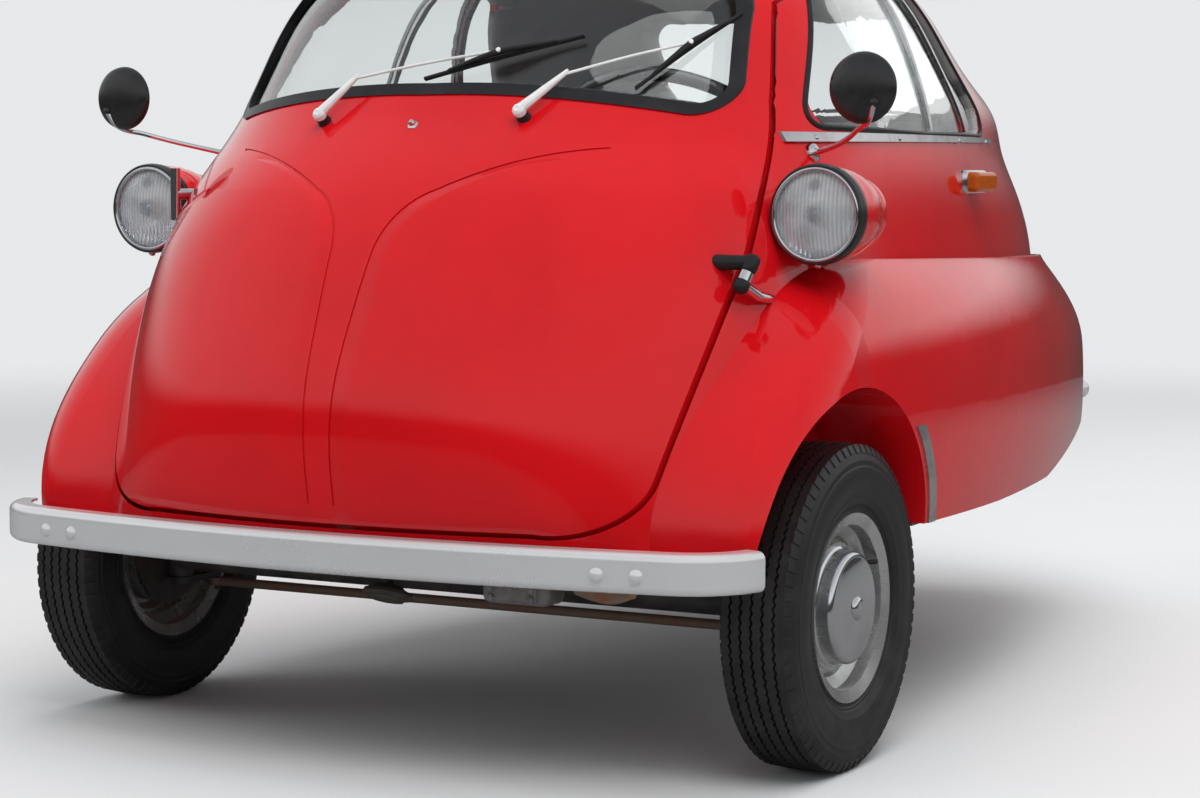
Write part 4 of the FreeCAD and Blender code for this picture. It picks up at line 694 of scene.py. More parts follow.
class PieceSizes(bpy.types.PropertyGroup):
    """Sizes of the fine pieces that a user would change, in metres."""

    groove_depth: bpy.props.FloatProperty(
        name="Groove depth", description="Depth of the tyre's grooves", subtype="DISTANCE", unit="LENGTH",
        default=0.006)
    groove_wave: bpy.props.FloatProperty(
        name="Groove wave", description="Sideways swing of the zigzag grooves", subtype="DISTANCE",
        unit="LENGTH", default=0.0016)
    flute_pitch: bpy.props.FloatProperty(
        name="Flute pitch", description="Spacing of the headlamp glass's flutes", subtype="DISTANCE",
        unit="LENGTH", default=0.0075)
    pad_swell: bpy.props.FloatProperty(
        name="Pad swell", description="How far the seat padding may swell", subtype="DISTANCE", unit="LENGTH",
        default=0.014)


class StageSizes(bpy.types.PropertyGroup):
    """Camera and light."""

    lens: bpy.props.FloatProperty(
        name="Lens", description="Focal length on a 36 mm sensor, in millimetres", default=83.108)
    eye: bpy.props.FloatVectorProperty(
        name="Eye", description="Camera place", subtype="TRANSLATION", size=3, unit="LENGTH",
        default=(2.27939, -4.47739, 0.88584))
    yaw: bpy.props.FloatProperty(
        name="Yaw", description="Turn of the view from straight rearwards", subtype="ANGLE", unit="ROTATION",
        default=0.4978)
    pitch: bpy.props.FloatProperty(
        name="Pitch", description="Fall of the view", subtype="ANGLE", unit="ROTATION", default=0.0815)
    roll: bpy.props.FloatProperty(
        name="Roll", description="Lean of the view", subtype="ANGLE", unit="ROTATION", default=-0.0015)
    lamp_power: bpy.props.FloatProperty(
        name="Lamp power", description="Share of the soft lamps' full power", subtype="FACTOR", min=0.0,
        max=4.0, default=1.0)


class BUBBLECAR_OT_finishes(bpy.types.Operator):
    """Builds the finishes and gives every CAD node its own."""

    bl_idname = "bubblecar.finishes"
    bl_label = "Finish the frame"

    def execute(self, context):
        colours = context.scene.bubble_colours
        for build in (mottle_group, grain_group, dust_group, weave_group):
            build()
        body_paint(tuple(colours.body_red))
        paints(colours)
        metals()
        rubbers_and_plastics(colours)
        glasses()
        lamp_bowl()
        striped_cloth()
        hood_cloth()
        for finish, names in NODE_FINISH.items():
            for name in names:
                data = NODES[name].data
                data.materials.clear()
                data.materials.append(bpy.data.materials[finish])
        return {"FINISHED"}


# Wheels: each tyre is made about the origin, outboard along Z. The piece, its CAD tyre, body, middle and way
WHEELS = [
    ("tyre_front_left", "front_tyre_left", "front_wheel_left", spot(WHEEL_X, 0, TYRE_R), OUTWARD),
    ("tyre_front_right", "front_tyre_right", "front_wheel_right", spot(-WHEEL_X, 0, TYRE_R), -OUTWARD),
    ("tyre_rear", "rear_tyre", "rear_wheel", spot(0, REAR_AXLE, TYRE_R), OUTWARD),
]

# Tyre section as (radius, distance outboard of the middle), in millimetres, from the outer bead to the tread
TREAD_STEPS = 216
TREAD_EDGE = 47.0
TREAD_FALL = 3.0
GROOVE_PLACES = (-34.0, -17.0, 0.0, 17.0, 34.0)
GROOVE_HALF = 2.1
SIDEWALL = [(127.0, 42.0), (133.0, 45.5), (141.0, 47.2), (147.0, 48.4), (149.0, 50.2), (152.0, 50.0),
            (154.0, 52.6), (163.0, 56.4), (165.0, 57.4), (167.0, 57.0), (176.0, 59.2), (187.0, 60.4),
            (198.0, 60.2), (207.0, 59.0), (209.0, 59.7), (211.0, 58.6), (217.0, 57.8), (219.0, 58.4),
            (229.0, 54.6), (239.0, 49.6)]

# Grooved band and shoulder lugs of the tread, in metres
WAVE_RADIUS = 0.230
WAVE_EDGE = 0.043
LUG_RADII = (0.2295, 0.2425)
LUG_EDGE = 0.047
LUG_GAP = 0.0006
LUG_HEIGHT = 0.0016


def crown(place):
    """Radius of the tread at a distance from the tyre's middle."""
    return TYRE_R - TREAD_FALL * (place / TREAD_EDGE) ** 2


def tread_rows(depth):
    """The tread from its outer to its inner edge; groove walls lean a little."""
    rows = [(crown(TREAD_EDGE), TREAD_EDGE)]
    for middle in reversed(GROOVE_PLACES):
        for share, sunk in ((1.0, 0.0), (0.6, depth), (-0.6, depth), (-1.0, 0.0)):
            place = middle + GROOVE_HALF * share
            rows.append((crown(place) - sunk, place))
    return rows + [(crown(-TREAD_EDGE), -TREAD_EDGE)]


def tyre_mesh(sizes):
    """One tyre with zigzag grooves and shoulder lugs."""
    inner = [(radius, -across) for radius, across in reversed(SIDEWALL)]
    rows = SIDEWALL + tread_rows(sizes.groove_depth / MM) + inner
    obj = spun("front_tyre_outer", rows, Vector(), UPWARD, TREAD_STEPS)
    step = math.tau / TREAD_STEPS

    # The grooves swing from side to side at every other step
    for vertex in obj.data.vertices:
        co = vertex.co
        if abs(co.z) < WAVE_EDGE and math.hypot(co.x, co.y) > WAVE_RADIUS:
            odd = round(math.atan2(co.y, co.x) / step) % 2
            co.z += sizes.groove_wave * (1 if odd else -1)

    def lug(face):
        """Two of every three faces round both shoulders stand proud."""
        middle = face.center
        if not LUG_RADII[0] < math.hypot(middle.x, middle.y) < LUG_RADII[1] or abs(middle.z) < LUG_EDGE:
            return False
        return math.floor(math.atan2(middle.y, middle.x) / step) % 3 != 0

    pick(obj, lug)
    bpy.ops.mesh.inset(thickness=LUG_GAP, depth=LUG_HEIGHT, use_boundary=True)
    bpy.ops.object.mode_set(mode="OBJECT")
    return obj


class BUBBLECAR_OT_tyres(bpy.types.Operator):
    """Three grooved tyres in place of the plain ones."""

    bl_idname = "bubblecar.tyres"
    bl_label = "Tyres"

    def execute(self, context):
        first = tyre_mesh(context.scene.bubble_sizes)
        for name, node, body, place, way in WHEELS:
            obj = copied(first, name)
            aimed(obj, place, way)
            done(obj, "tyre_rubber", body, 28.0)
            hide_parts(node)
        bpy.data.objects.remove(first)
        return {"FINISHED"}


# Wheel trim: valve, rear wheel nuts on their circle, and the hub's cover on the rim's face
VALVE_ROWS = [(0, 0), (4.4, 0), (4.4, 9), (3.4, 12), (3.0, 24), (3.7, 25), (3.7, 36), (2.8, 38), (0, 38)]
VALVE_OUT = 0.104
VALVE_PROUD = 0.012
VALVE_LEAN = 0.3
NUT_ROWS = [(0, 0), (10.5, 0), (10.5, 2), (9.0, 3), (8.6, 11), (7.4, 12.6), (4.6, 13), (4.6, 17), (3.8, 18),
            (0, 18)]
NUT_CIRCLE = 0.052
NUT_FACE = 0.0244
HUB_FACE = 0.0242
HUB_ROWS = [(0, 0), (26, 0), (26, 3), (24, 14), (19, 19), (9, 22), (0, 22)]


class BUBBLECAR_OT_wheel_trim(bpy.types.Operator):
    """Valves, rear wheel nuts and the rear hub's cover."""

    bl_idname = "bubblecar.wheel_trim"
    bl_label = "Wheel trim"

    def execute(self, context):
        for side, wheel in zip(("left", "right"), WHEELS):
            body, place, way = wheel[2:]
            tilt = Vector((0.0, 0.30 * way.x, 0.12)).normalized() * VALVE_LEAN
            lean = (way * 0.9 + tilt).normalized()
            out = Vector((0.0, 0.86 * way.x, 0.50)).normalized()
            foot = place + out * VALVE_OUT + way * VALVE_PROUD
            turned("valve_" + side, "black_rubber", VALVE_ROWS, foot, lean, 20, body=body)
        place = WHEELS[2][3]
        nuts = []
        for number in range(4):
            angle = math.radians(45 + 90 * number)
            along, up = NUT_CIRCLE * math.cos(angle), NUT_CIRCLE * math.sin(angle)
            nuts.append(spun("nut", NUT_ROWS, place + Vector((NUT_FACE, along, up)), OUTWARD, 6))
        done(joined("rear_wheel_nuts", *nuts), "rusty_steel", "rear_wheel", 20.0)
        turned("rear_hub_cover", "black_frame_paint", HUB_ROWS, place + OUTWARD * HUB_FACE, OUTWARD, 40,
               body="rear_wheel")
        return {"FINISHED"}


# Headlamps: each side of the glass as (rise, foot forward of the rim), in millimetres
LENS_FRONT = (14.0, -6.0)
LENS_BACK = (10.0, -9.0)

# Flutes in the glass's back, in metres: how near a point of the back lies, the depth of the flutes and cross
# blocks, and the part of the back that has them
NEAR_BACK = 0.0004
FLUTE_DEPTH = 0.0004
FLUTE_OUT = 0.0635
BLOCK_DEPTH = 0.00007
BLOCK_UP = 0.018
BLOCK_OUT = 0.030

# Spun parts of a headlamp: name, finish, steps, crease and rows forward of the rim
LAMP_PARTS = [
    ("bowl", "lamp_bowl", 72, 60.0,
     [(0, -19.6), (20, -19.0), (40, -17.4), (52, -15.0), (60, -12.0), (65, -9.8), (65, -9.2), (60, -11.2),
      (52, -14.2), (40, -16.6), (20, -18.2), (0, -18.8)]),
    ("socket", "dial_face", 40, 32.0,
     [(0, -19.2), (17, -19.0), (17, -16.2), (14.4, -15.0), (13.2, -12.6), (0, -12.4)]),
    ("bulb", "bright_chrome", 32, 32.0,
     [(0, -12.8), (7.5, -12.8), (8.2, -9.5), (7.0, -6.0), (4, -4.2), (0, -3.8)]),
    ("rim", "bright_chrome", 96, 50.0,
     [(64.4, -6), (64.4, 0.2), (65.2, 1.6), (66.8, 2.4), (68.6, 2.2), (70.0, 0.8), (70.4, -2.4), (67.6, -3.2),
      (66.0, -6)]),
    ("shroud", "smooth_plastic", 96, 50.0,
     [(70.2, 0.4), (71.6, 1.2), (73.2, 0.2), (74.4, -3), (74.8, -12), (74.2, -23), (72.4, -24), (71.6, -12),
      (70.4, -3)]),
]


def ball_radius(rise):
    """Radius of the ball that a dome over the lens's rim is cut from, in millimetres."""
    return (LENS_R ** 2 + rise ** 2) / (2 * rise)


def dome(rise, foot, count):
    """Rows of a dome over the lens's rim, from its middle outwards."""
    ball = ball_radius(rise)
    rows = []
    for number in range(count + 1):
        at = LENS_R * number / count
        rows.append((at, foot + rise - (ball - math.sqrt(ball ** 2 - at ** 2))))
    return rows


def lamp_glass(name, pitch):
    """Domed glass with upright flutes pressed into its back."""
    obj = spun(name, dome(*LENS_FRONT, 14) + dome(*LENS_BACK, 44)[::-1], LAMP, FORWARD, 180)
    ball = ball_radius(LENS_BACK[0]) * MM
    for vertex in obj.data.vertices:
        away = vertex.co - LAMP
        radius = math.hypot(away.x, away.z)
        back = ball - math.sqrt(max(ball ** 2 - radius ** 2, 0.0)) - sum(LENS_BACK) * MM
        if abs(away.y - back) < NEAR_BACK and radius < FLUTE_OUT:
            vertex.co.y += FLUTE_DEPTH * abs(math.sin(math.pi * away.x / pitch))
            if away.z > BLOCK_UP and abs(away.x) < BLOCK_OUT:
                vertex.co.y += BLOCK_DEPTH * abs(math.sin(math.pi * away.z / pitch))
    return obj


class BUBBLECAR_OT_headlamps(bpy.types.Operator):
    """Fluted glass, bright bowl, bulb and rims of both headlamps."""

    bl_idname = "bubblecar.headlamps"
    bl_label = "Headlamps"

    def execute(self, context):
        glass = lamp_glass("headlamp_glass_left", context.scene.bubble_sizes.flute_pitch)
        done(glass, "fluted_glass", "body", 40.0)
        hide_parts("headlamp_lenses")
        parts = [glass]
        for part, finish, steps, crease, rows in LAMP_PARTS:
            parts.append(turned(f"headlamp_{part}_left", finish, rows, LAMP, FORWARD, steps, crease))
        run = [spot(578, 84, 748), spot(580, 82, 757), spot(590, 72, 766)]
        stay = rod_run("headlamp_stay_left", run, 8.0, [1.25, 1.0, 0.9])
        parts.append(done(stay, "gloss_body_paint", "body"))
        rows = [(0, 0), (5.6, 0), (5.6, 1.4), (4.8, 3.2), (2.6, 4.4), (0, 4.8)]
        parts.append(turned("headlamp_screw_left", "bright_chrome", rows, LAMP + shift(0, 10, -75),
                            -UPWARD + FORWARD * 0.4, 24))
        opposite(*parts)
        return {"FINISHED"}


class BUBBLECAR_OT_mirrors(bpy.types.Operator):
    """Round mirrors on bent bright stalks."""

    bl_idname = "bubblecar.mirrors"
    bl_label = "Mirrors"

    def execute(self, context):
        rows = [(0, 10), (16, 9.4), (30, 7.6), (40, 4.6), (47.5, 0.4), (51.6, -4), (53, -9.5), (51.8, -10.4),
                (50.6, -9.0), (47, -5), (0, -5)]
        back = turned("mirror_back_left", "smooth_plastic", rows, MIRROR_HEAD, FORWARD, 72, 40.0)
        rows = [(0, -5.2), (48.5, -5.2), (50.4, -7.4), (47.6, -8.2), (30, -8.8), (0, -9.2)]
        glass = turned("mirror_glass_left", "mirror_silver", rows, MIRROR_HEAD, FORWARD, 72, 50.0)
        run = [spot(540, 130, 915), spot(562, 122, 920), spot(590, 106, 927), spot(620, 80, 936),
               spot(656, 38, 950), spot(689, 4, 964), spot(700, -7, 986)]
        stalk = rod_run("mirror_stalk_left", run, 4.2, [1.3, 1.1, 1.0, 1.0, 1.0, 1.0, 1.1])
        done(stalk, "bright_chrome", "body", 60.0)
        rows = [(0, -9), (5, -8), (7.0, -3.4), (7.6, 1), (6.2, 4.6), (3.4, 6.4), (0, 7)]
        ball = turned("mirror_joint_left", "smooth_plastic", rows, spot(700, -5, 988), FORWARD, 32, 60.0)
        rows = [(0, -14), (13.5, -14), (14.5, -3), (13.6, 1.6), (9.4, 4.6), (6.4, 5.4), (5.6, 9.0), (0, 9.4)]
        foot = turned("mirror_foot_left", "bright_chrome", rows, spot(545, 128, 917), (0.94, -0.28, 0.18), 40,
                      40.0)
        opposite(back, glass, stalk, ball, foot)
        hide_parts("mirrors")
        return {"FINISHED"}


def on_skin(node, place, way):
    """The point where a line from a place in a direction meets a CAD node, and the surface's direction."""
    hit, point, normal = NODES[node].ray_cast(Vector(place), Vector(way))[:3]
    if not hit:
        raise RuntimeError(f"no surface of {node} ahead of {tuple(place)}")
    return point, normal


# Wipers: pivot and elbow, points along the blade on the glass, and the way off the glass there
WIPERS = [
    ("near", ((187, -132, 966), (238, -72, 1025)),
     ((328, -43, 1010), (383, 42, 1076), (411, 94, 1110), (424, 123, 1127)), (0.45, -0.72, 0.53)),
    ("far", ((-166, -141, 963), (-120, -97, 1024)),
     ((-6, -102, 1027), (114, -74, 1059), (235, -29, 1091)), (0.06, -0.83, 0.55)),
]
GLASS_OUT = Vector((0.0, -0.78, 0.62))
ARM_LIFT = GLASS_OUT * 0.022
BLADE_LIFT = 0.005
HOOK_LIFT = 0.015
LIP_DROP = 0.0044
CLAW = 0.003


def share_of(points, share):
    """The point at a share of a run's length."""
    reach = share * sum((q - p).length for p, q in zip(points, points[1:]))
    for p, q in zip(points, points[1:]):
        step = (q - p).length
        if reach <= step:
            return p + (q - p) * (reach / step)
        reach -= step
    return points[-1]


def wiper_arm(name, pivot, elbow, middle, out):
    """Nut, cap and bent arm from the pivot to the blade's middle."""
    rows = [(0, -26), (11.5, -26), (12.5, -2), (10.5, 4), (9.6, 12), (7.6, 13), (7.0, 19), (0, 20)]
    turned(name + "_wiper_nut", "black_rubber", rows, pivot, GLASS_OUT, 36, body="door")
    head, bend = pivot + ARM_LIFT, elbow + ARM_LIFT
    rows = [(0, -8), (9.4, -7.6), (10.6, -3), (10.2, 2), (7.4, 5.6), (0, 7)]
    turned(name + "_wiper_cap", "wiper_paint", rows, head, GLASS_OUT, 40, body="door")
    lever = rod_run("lever", [head, share_of([head, bend], 0.5), bend], 6.6, [1.25, 0.95, 0.55])
    arm = rod_run("arm", [share_of([head, bend], 0.9), share_of([bend, middle], 0.5), middle], 2.4)
    hook = spun("hook", [(0, -5), (3.6, -4.4), (4.4, 0), (3.6, 4.4), (0, 5)], middle, out, 24)
    return done(joined(name + "_wiper_arm", lever, arm, hook), "wiper_paint", "door")


def wiper_blade(name, blade, middle, out):
    """Bridge, spine, rubber lip and claws of one blade."""
    low, inner_low, inner_high, high = (share_of(blade, share) for share in (0.16, 0.36, 0.64, 0.84))
    run = [low + out * 0.003, inner_low + out * 0.010, middle - out * 0.002, inner_high + out * 0.010,
           high + out * 0.003]
    bridge = rod_run("bridge", run, 4.2, [0.7, 1.0, 1.3, 1.0, 0.7])
    spine = rod_run("spine", blade, 3.6, [0.8, *[1.0] * (len(blade) - 2), 0.8])
    lip = rod_run("lip", [place - out * LIP_DROP for place in blade], 1.6)
    claws = []
    for place in (low, high):
        claw = slab("claw", (-CLAW, -CLAW, -CLAW), (CLAW, CLAW, CLAW), 1.0)
        claws.append(aimed(claw, place, (blade[-1] - blade[0]).normalized()))
    done(joined(name + "_wiper_blade", bridge, spine, lip, *claws), "black_rubber", "door")


class BUBBLECAR_OT_wipers(bpy.types.Operator):
    """Two wipers and the washer nozzle between them."""

    bl_idname = "bubblecar.wipers"
    bl_label = "Wipers"

    def execute(self, context):
        for name, stem, line, way in WIPERS:
            out = Vector(way).normalized()
            pivot, elbow = (spot(*place) for place in stem)
            blade = [spot(*place) + out * BLADE_LIFT for place in line]
            middle = share_of(blade, 0.5) + out * HOOK_LIFT
            arm = wiper_arm(name, pivot, elbow, middle, out)
            wiper_blade(name, blade, middle, out)
            if name == "near":
                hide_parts("wipers")
        point, normal = on_skin("door_skin", spot(8, -400, 958), REARWARD)
        rows = [(0, -4), (8.6, -4), (8.8, 0.6), (7.2, 2.2), (5.6, 3.0), (5.2, 6.4), (3.4, 8.6), (0, 9.2)]
        turned("washer_nozzle", "bright_chrome", rows, point, (0.0, -0.72, 0.69), 36, body="door")
        return {"FINISHED"}


# Rubber sleeve at the foot of each hinge arm, as (radius, height) in millimetres
SLEEVE_ROWS = [(0, 0.6), (10.4, 0.6), (11.6, 2.0), (12.2, 8.0), (12.2, 20.0), (10.6, 25.6), (6.0, 28.4),
               (0, 29.0)]


class BUBBLECAR_OT_hinges(bpy.types.Operator):
    """Capped door hinge arms."""

    bl_idname = "bubblecar.hinges"
    bl_label = "Door hinges"

    def execute(self, context):
        way = (HINGE_HIGH - HINGE_LOW).normalized()
        upper = [HINGE_HIGH + way * 0.017, spot(520, -113, 756), spot(496, -112, 756), spot(474, -103, 755),
                 spot(455, -88, 753)]
        lower = [HINGE_LOW + way * 0.014, spot(456, -334, 345), spot(451, -322, 349)]
        for name, foot, run, radius, widths in (
                ("upper", HINGE_HIGH, upper, 11.5, [0.95, 1.0, 1.05, 1.1, 0.8]),
                ("lower", HINGE_LOW, lower, 8.0, [1.0, 1.0, 0.8])):
            sleeve = spun("sleeve", SLEEVE_ROWS, foot, way, 40)
            arm = joined(name + "_hinge_arm", sleeve, rod_run("arm", run, radius, widths))
            done(arm, "black_rubber", "door", 45.0)
        rows = [(0, -34.0), (7, -33.2), (11.4, -29.6), (12.4, -25.0), (12.2, -16.0), (11.1, -14.6),
                (0, -14.6)]
        turned("upper_hinge_cap", "black_rubber", rows, HINGE_HIGH, way, 40, 45.0)
        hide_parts("door_hinge_arms")
        return {"FINISHED"}


# Signals: ribs of the side indicators and rings in the tail lamps
RIBS = 9
RIB_FIRST = 737
RIB_STEP = 9.5
RIB_SUNK = 0.0012
RIB_HEIGHTS = (0.8605, 0.871, 0.8815)
TAIL_ACROSS = 0.330
TAIL_UP = 0.560
TAIL_RINGS = 6


class BUBBLECAR_OT_signals(bpy.types.Operator):
    """Ribs and bases of the side indicators, and ringed tail lamps."""

    bl_idname = "bubblecar.signals"
    bl_label = "Signals"

    def execute(self, context):
        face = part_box("side_indicators")[1][0] - RIB_SUNK
        ribs = []
        for number in range(RIBS):
            y = FRONT_AXLE_Y + (RIB_FIRST + RIB_STEP * number) * MM
            run = [Vector((face, y, up)) for up in RIB_HEIGHTS]
            ribs.append(rod_run("rib", run, 2.6, curved=False, sides=2))
        ribs = done(joined("indicator_ribs_left", *ribs), "amber_lens", "body", 50.0)
        base = slab("indicator_base_left", spot(530, 722, 850.5), spot(565, 828, 891.5), 9.0)
        done(base, "bright_chrome", "body")
        opposite(ribs, base)

        tip = Vector((TAIL_ACROSS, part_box("tail_lamps")[1][1], TAIL_UP))
        rows = [(0, -60), (36, -60), (36, -14), (33.5, -9)]
        for number in range(TAIL_RINGS):
            edge = 30.0 - 5.0 * number
            rise = 0.9 * number
            rows += [(edge + 1.6, rise - 7.4), (edge, rise - 6.2), (edge - 1.6, rise - 6.8)]
        rows += [(1.5, -1.6), (0, -1.2)]
        lens = turned("tail_lens_left", "red_lens", rows, tip, REARWARD, 64, 40.0)
        rows = [(35.0, -70), (41.0, -70), (41.0, -18), (40.2, -14.5), (38.2, -12.6), (36.0, -12.4),
                (35.0, -14.5)]
        ring = turned("tail_ring_left", "bright_chrome", rows, tip, REARWARD, 64, 40.0)
        opposite(lens, ring)
        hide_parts("tail_lamps")
        return {"FINISHED"}


# Front bumper: plan radius of its face, and the bolts' places across the car
BUMPER_R = 2931.0
BUMPER_NOSE = -445.0
BOLTS = (461.0, 518.0, -461.0, -518.0)
BELT_SCREWS = (145, 407, 730, 960)


class BUBBLECAR_OT_fastenings(bpy.types.Operator):
    """Domed bumper bolts, belt screws, hatch catch and the blank plate."""

    bl_idname = "bubblecar.fastenings"
    bl_label = "Bolts and plate"

    def execute(self, context):
        rows = [(0, -2), (10.6, -2), (10.6, 0.6), (9.8, 1.0), (8.8, 3.2), (6.8, 5.4), (3.8, 6.8), (0, 7.4)]
        bolts = []
        for x in BOLTS:
            y = BUMPER_NOSE + BUMPER_R - math.sqrt(BUMPER_R ** 2 - x ** 2)
            way = Vector((x / BUMPER_R, -1.0, 0.0)).normalized()
            bolts.append(spun("bolt", rows, spot(x, y, 331), way, 36))
        done(joined("bumper_bolts", *bolts), "silver_bumper_paint", "body", 40.0)

        rows = [(0, -1), (4.6, -1), (4.4, 0.6), (3.2, 1.5), (0.7, 1.9), (0.7, 1.0), (0, 1.0)]
        screws = []
        for y in BELT_SCREWS:
            for side in (1, -1):
                point, normal = on_skin("alloy_trim", spot(side * 900, y, 941), -OUTWARD * side)
                screws.append(spun("screw", rows, point, normal, 24))
        done(joined("belt_screws", *screws), "bright_chrome", "body", 30.0)

        point, normal = on_skin("engine_hatch", spot(-900, 1345, 515), OUTWARD)
        rows = [(0, -3), (15, -3), (15, 0.8), (13, 2.4), (8, 3.0), (7, 9), (5.6, 10.4), (0, 11)]
        plate = spun("hatch_catch", rows, point, normal, 40)
        run = [point + normal * 0.010 + UPWARD * 0.020, point + normal * 0.012,
               point + normal * 0.010 - UPWARD * 0.020]
        bar = rod_run("catch_bar", run, 3.4, [0.8, 1.2, 0.8])
        done(joined("hatch_catch", plate, bar), "bright_chrome", "hatch")

        board = slab("blank_rear_plate", spot(-168, 1892.0, 489), spot(168, 1894.0, 603), 0.6)
        done(board, "ivory_plastic", "body")
        rows = [(0, -1), (5.5, -1), (5.5, 1.2), (4.0, 2.6), (0, 3.0)]
        for side, across in (("left", 120), ("right", -120)):
            turned("plate_bolt_" + side, "rusty_steel", rows, spot(across, 1894.0, 546), REARWARD, 6, 20.0)
        return {"FINISHED"}


# Seats: low and high corners of the CAD blocks, kept by the padding
CUSHION = (spot(-515, 450, 455), spot(515, 905, 585))
BACK_LEAN = math.radians(12.0)
BACK_FOOT = spot(0, 977.6, 606.1)
BACK = (spot(-450, 877.6, 606.1), spot(450, 977.6, 996.1))
VOXEL = 0.0085
START_IN = 0.010
CLOTH_FRAMES = 18
CLOTH_QUALITY = 4
PRESSURE = 4.0
PAD_CORNER = 26.0
PLEAT = 0.1145
PLEAT_DEPTH = 0.007
PLEAT_WIDTH = 0.0055
PLEAT_REACH = 0.05
BORDER = 0.055
WELT_R = 3.6
WELT_BELOW = 0.016
WELT_IN = 0.006
WELT_STEPS = 32
SQUARENESS = 8


def stuffed(name, low, high, swell):
    """A block of padding blown up a little under its cover, kept between its two corners."""
    inset = Vector((START_IN, START_IN, START_IN))
    obj = slab(name, low + inset, high - inset, PAD_CORNER, segments=4)
    modified(obj, "REMESH", mode="VOXEL", voxel_size=VOXEL)
    start = [vertex.co.copy() for vertex in obj.data.vertices]
    only(obj)
    cloth = obj.modifiers.new("Cloth", "CLOTH")
    cloth.settings.quality = CLOTH_QUALITY
    cloth.settings.use_pressure = True
    cloth.settings.uniform_pressure_force = PRESSURE
    cloth.settings.effector_weights.gravity = 0.0
    cloth.collision_settings.use_collision = False
    scene = bpy.context.scene
    for number in range(1, CLOTH_FRAMES + 1):
        scene.frame_set(number)
    bpy.ops.object.modifier_apply(modifier=cloth.name)
    scene.frame_set(1)
    for vertex, before in zip(obj.data.vertices, start):
        move = vertex.co - before
        if move.length > swell:
            vertex.co = before + move * (swell / move.length)
    modified(obj, "SUBSURF", levels=1, render_levels=1)
    for vertex in obj.data.vertices:
        for axis in range(3):
            vertex.co[axis] = min(max(vertex.co[axis], low[axis]), high[axis])
    return obj


def seat_pleats(obj, low, high, axis, face):
    """Sewn channels across one face of the padding, and a stitched border."""
    inwards = -1.0 if face > (low[axis] + high[axis]) / 2 else 1.0
    for vertex in obj.data.vertices:
        co = vertex.co
        near = 1.0 - min(abs(co[axis] - face) / PLEAT_REACH, 1.0)
        if near <= 0.0:
            continue
        off = abs((co.x / PLEAT + 0.5) % 1.0 - 0.5) * PLEAT
        inside = min(co.x - low.x, high.x - co.x) - BORDER
        sink = PLEAT_DEPTH * math.exp(-(off / PLEAT_WIDTH) ** 2) * near if inside > 0.0 else 0.0
        border = PLEAT_DEPTH * math.exp(-(inside / PLEAT_WIDTH) ** 2) * near
        co[axis] += max(sink, border) * inwards


def piping(name, low, high, level, axis):
    """A welt sewn round one edge of the padding."""
    others = [a for a in (0, 1, 2) if a != axis]
    points = []
    for number in range(WELT_STEPS + 1):
        angle = math.tau * number / WELT_STEPS + math.pi / 4
        across, along = math.cos(angle), math.sin(angle)
        reach = (abs(across) ** SQUARENESS + abs(along) ** SQUARENESS) ** (-1 / SQUARENESS)
        co = Vector((0.0, 0.0, 0.0))
        for a, share in zip(others, (across * reach, along * reach)):
            co[a] = (low[a] + high[a]) / 2 + share * ((high[a] - low[a]) / 2 - WELT_IN)
        co[axis] = level
        points.append(co)
    return rod_run(name, points, WELT_R)


# Window openings: side corners as (behind the axle, height), rear ones as (across, height), and their radii
SIDE_WINDOW = (((138, 957), 30), ((302, 1218), 50), ((770, 1218), 60), ((972, 952), 40))
REAR_WINDOW = (((-330, 1000), 60), ((-275, 1190), 60), ((275, 1190), 60), ((330, 1000), 60))
RUBBER_OUT = 5.0


def rounded_path(corners, grow, gap=18.0):
    """Points round a polygon whose corners are arcs, pushed outwards and spaced evenly."""
    places = [Vector(place) for place, radius in corners]
    middle = sum(places, Vector((0.0, 0.0))) / len(places)
    count = len(places)
    rows = []
    for number, (place, radius) in enumerate(corners):
        corner = Vector(place)
        before = (places[number - 1] - corner).normalized()
        after = (places[(number + 1) % count] - corner).normalized()
        half = math.acos(max(-1.0, min(1.0, before.dot(after)))) / 2
        reach = radius / math.tan(half)
        rows.append([corner + before * reach, corner, corner + after * reach])
    path = []
    for number, (start, corner, end) in enumerate(rows):
        for step in range(7):
            t = step / 6
            path.append(start * (1 - t) ** 2 + corner * 2 * t * (1 - t) + end * t ** 2)
        following = rows[(number + 1) % count][0]
        steps = max(int((following - end).length / gap), 2)
        path += [end.lerp(following, n / steps) for n in range(1, steps)]
    return [p + (p - middle).normalized() * grow for p in path]


class BUBBLECAR_OT_window_rubbers(bpy.types.Operator):
    """Black rubber round the side and rear windows."""

    bl_idname = "bubblecar.window_rubbers"
    bl_label = "Window rubbers"

    def execute(self, context):
        side = []
        for across, up in rounded_path(SIDE_WINDOW, RUBBER_OUT):
            side.append(on_skin("roof_shell", spot(900, across, up), -OUTWARD)[0])
        rubber = rod_run("side_window_rubber_left", side + side[:1], 4.0, flat=1.0)
        done(rubber, "black_rubber", "body", 60.0)
        opposite(rubber)
        rear = []
        for across, up in rounded_path(REAR_WINDOW, RUBBER_OUT):
            rear.append(on_skin("roof_shell", spot(across, 2400, up), FORWARD)[0])
        done(rod_run("rear_window_rubber", rear + rear[:1], 5.0, flat=1.0), "black_rubber", "body", 60.0)
        return {"FINISHED"}


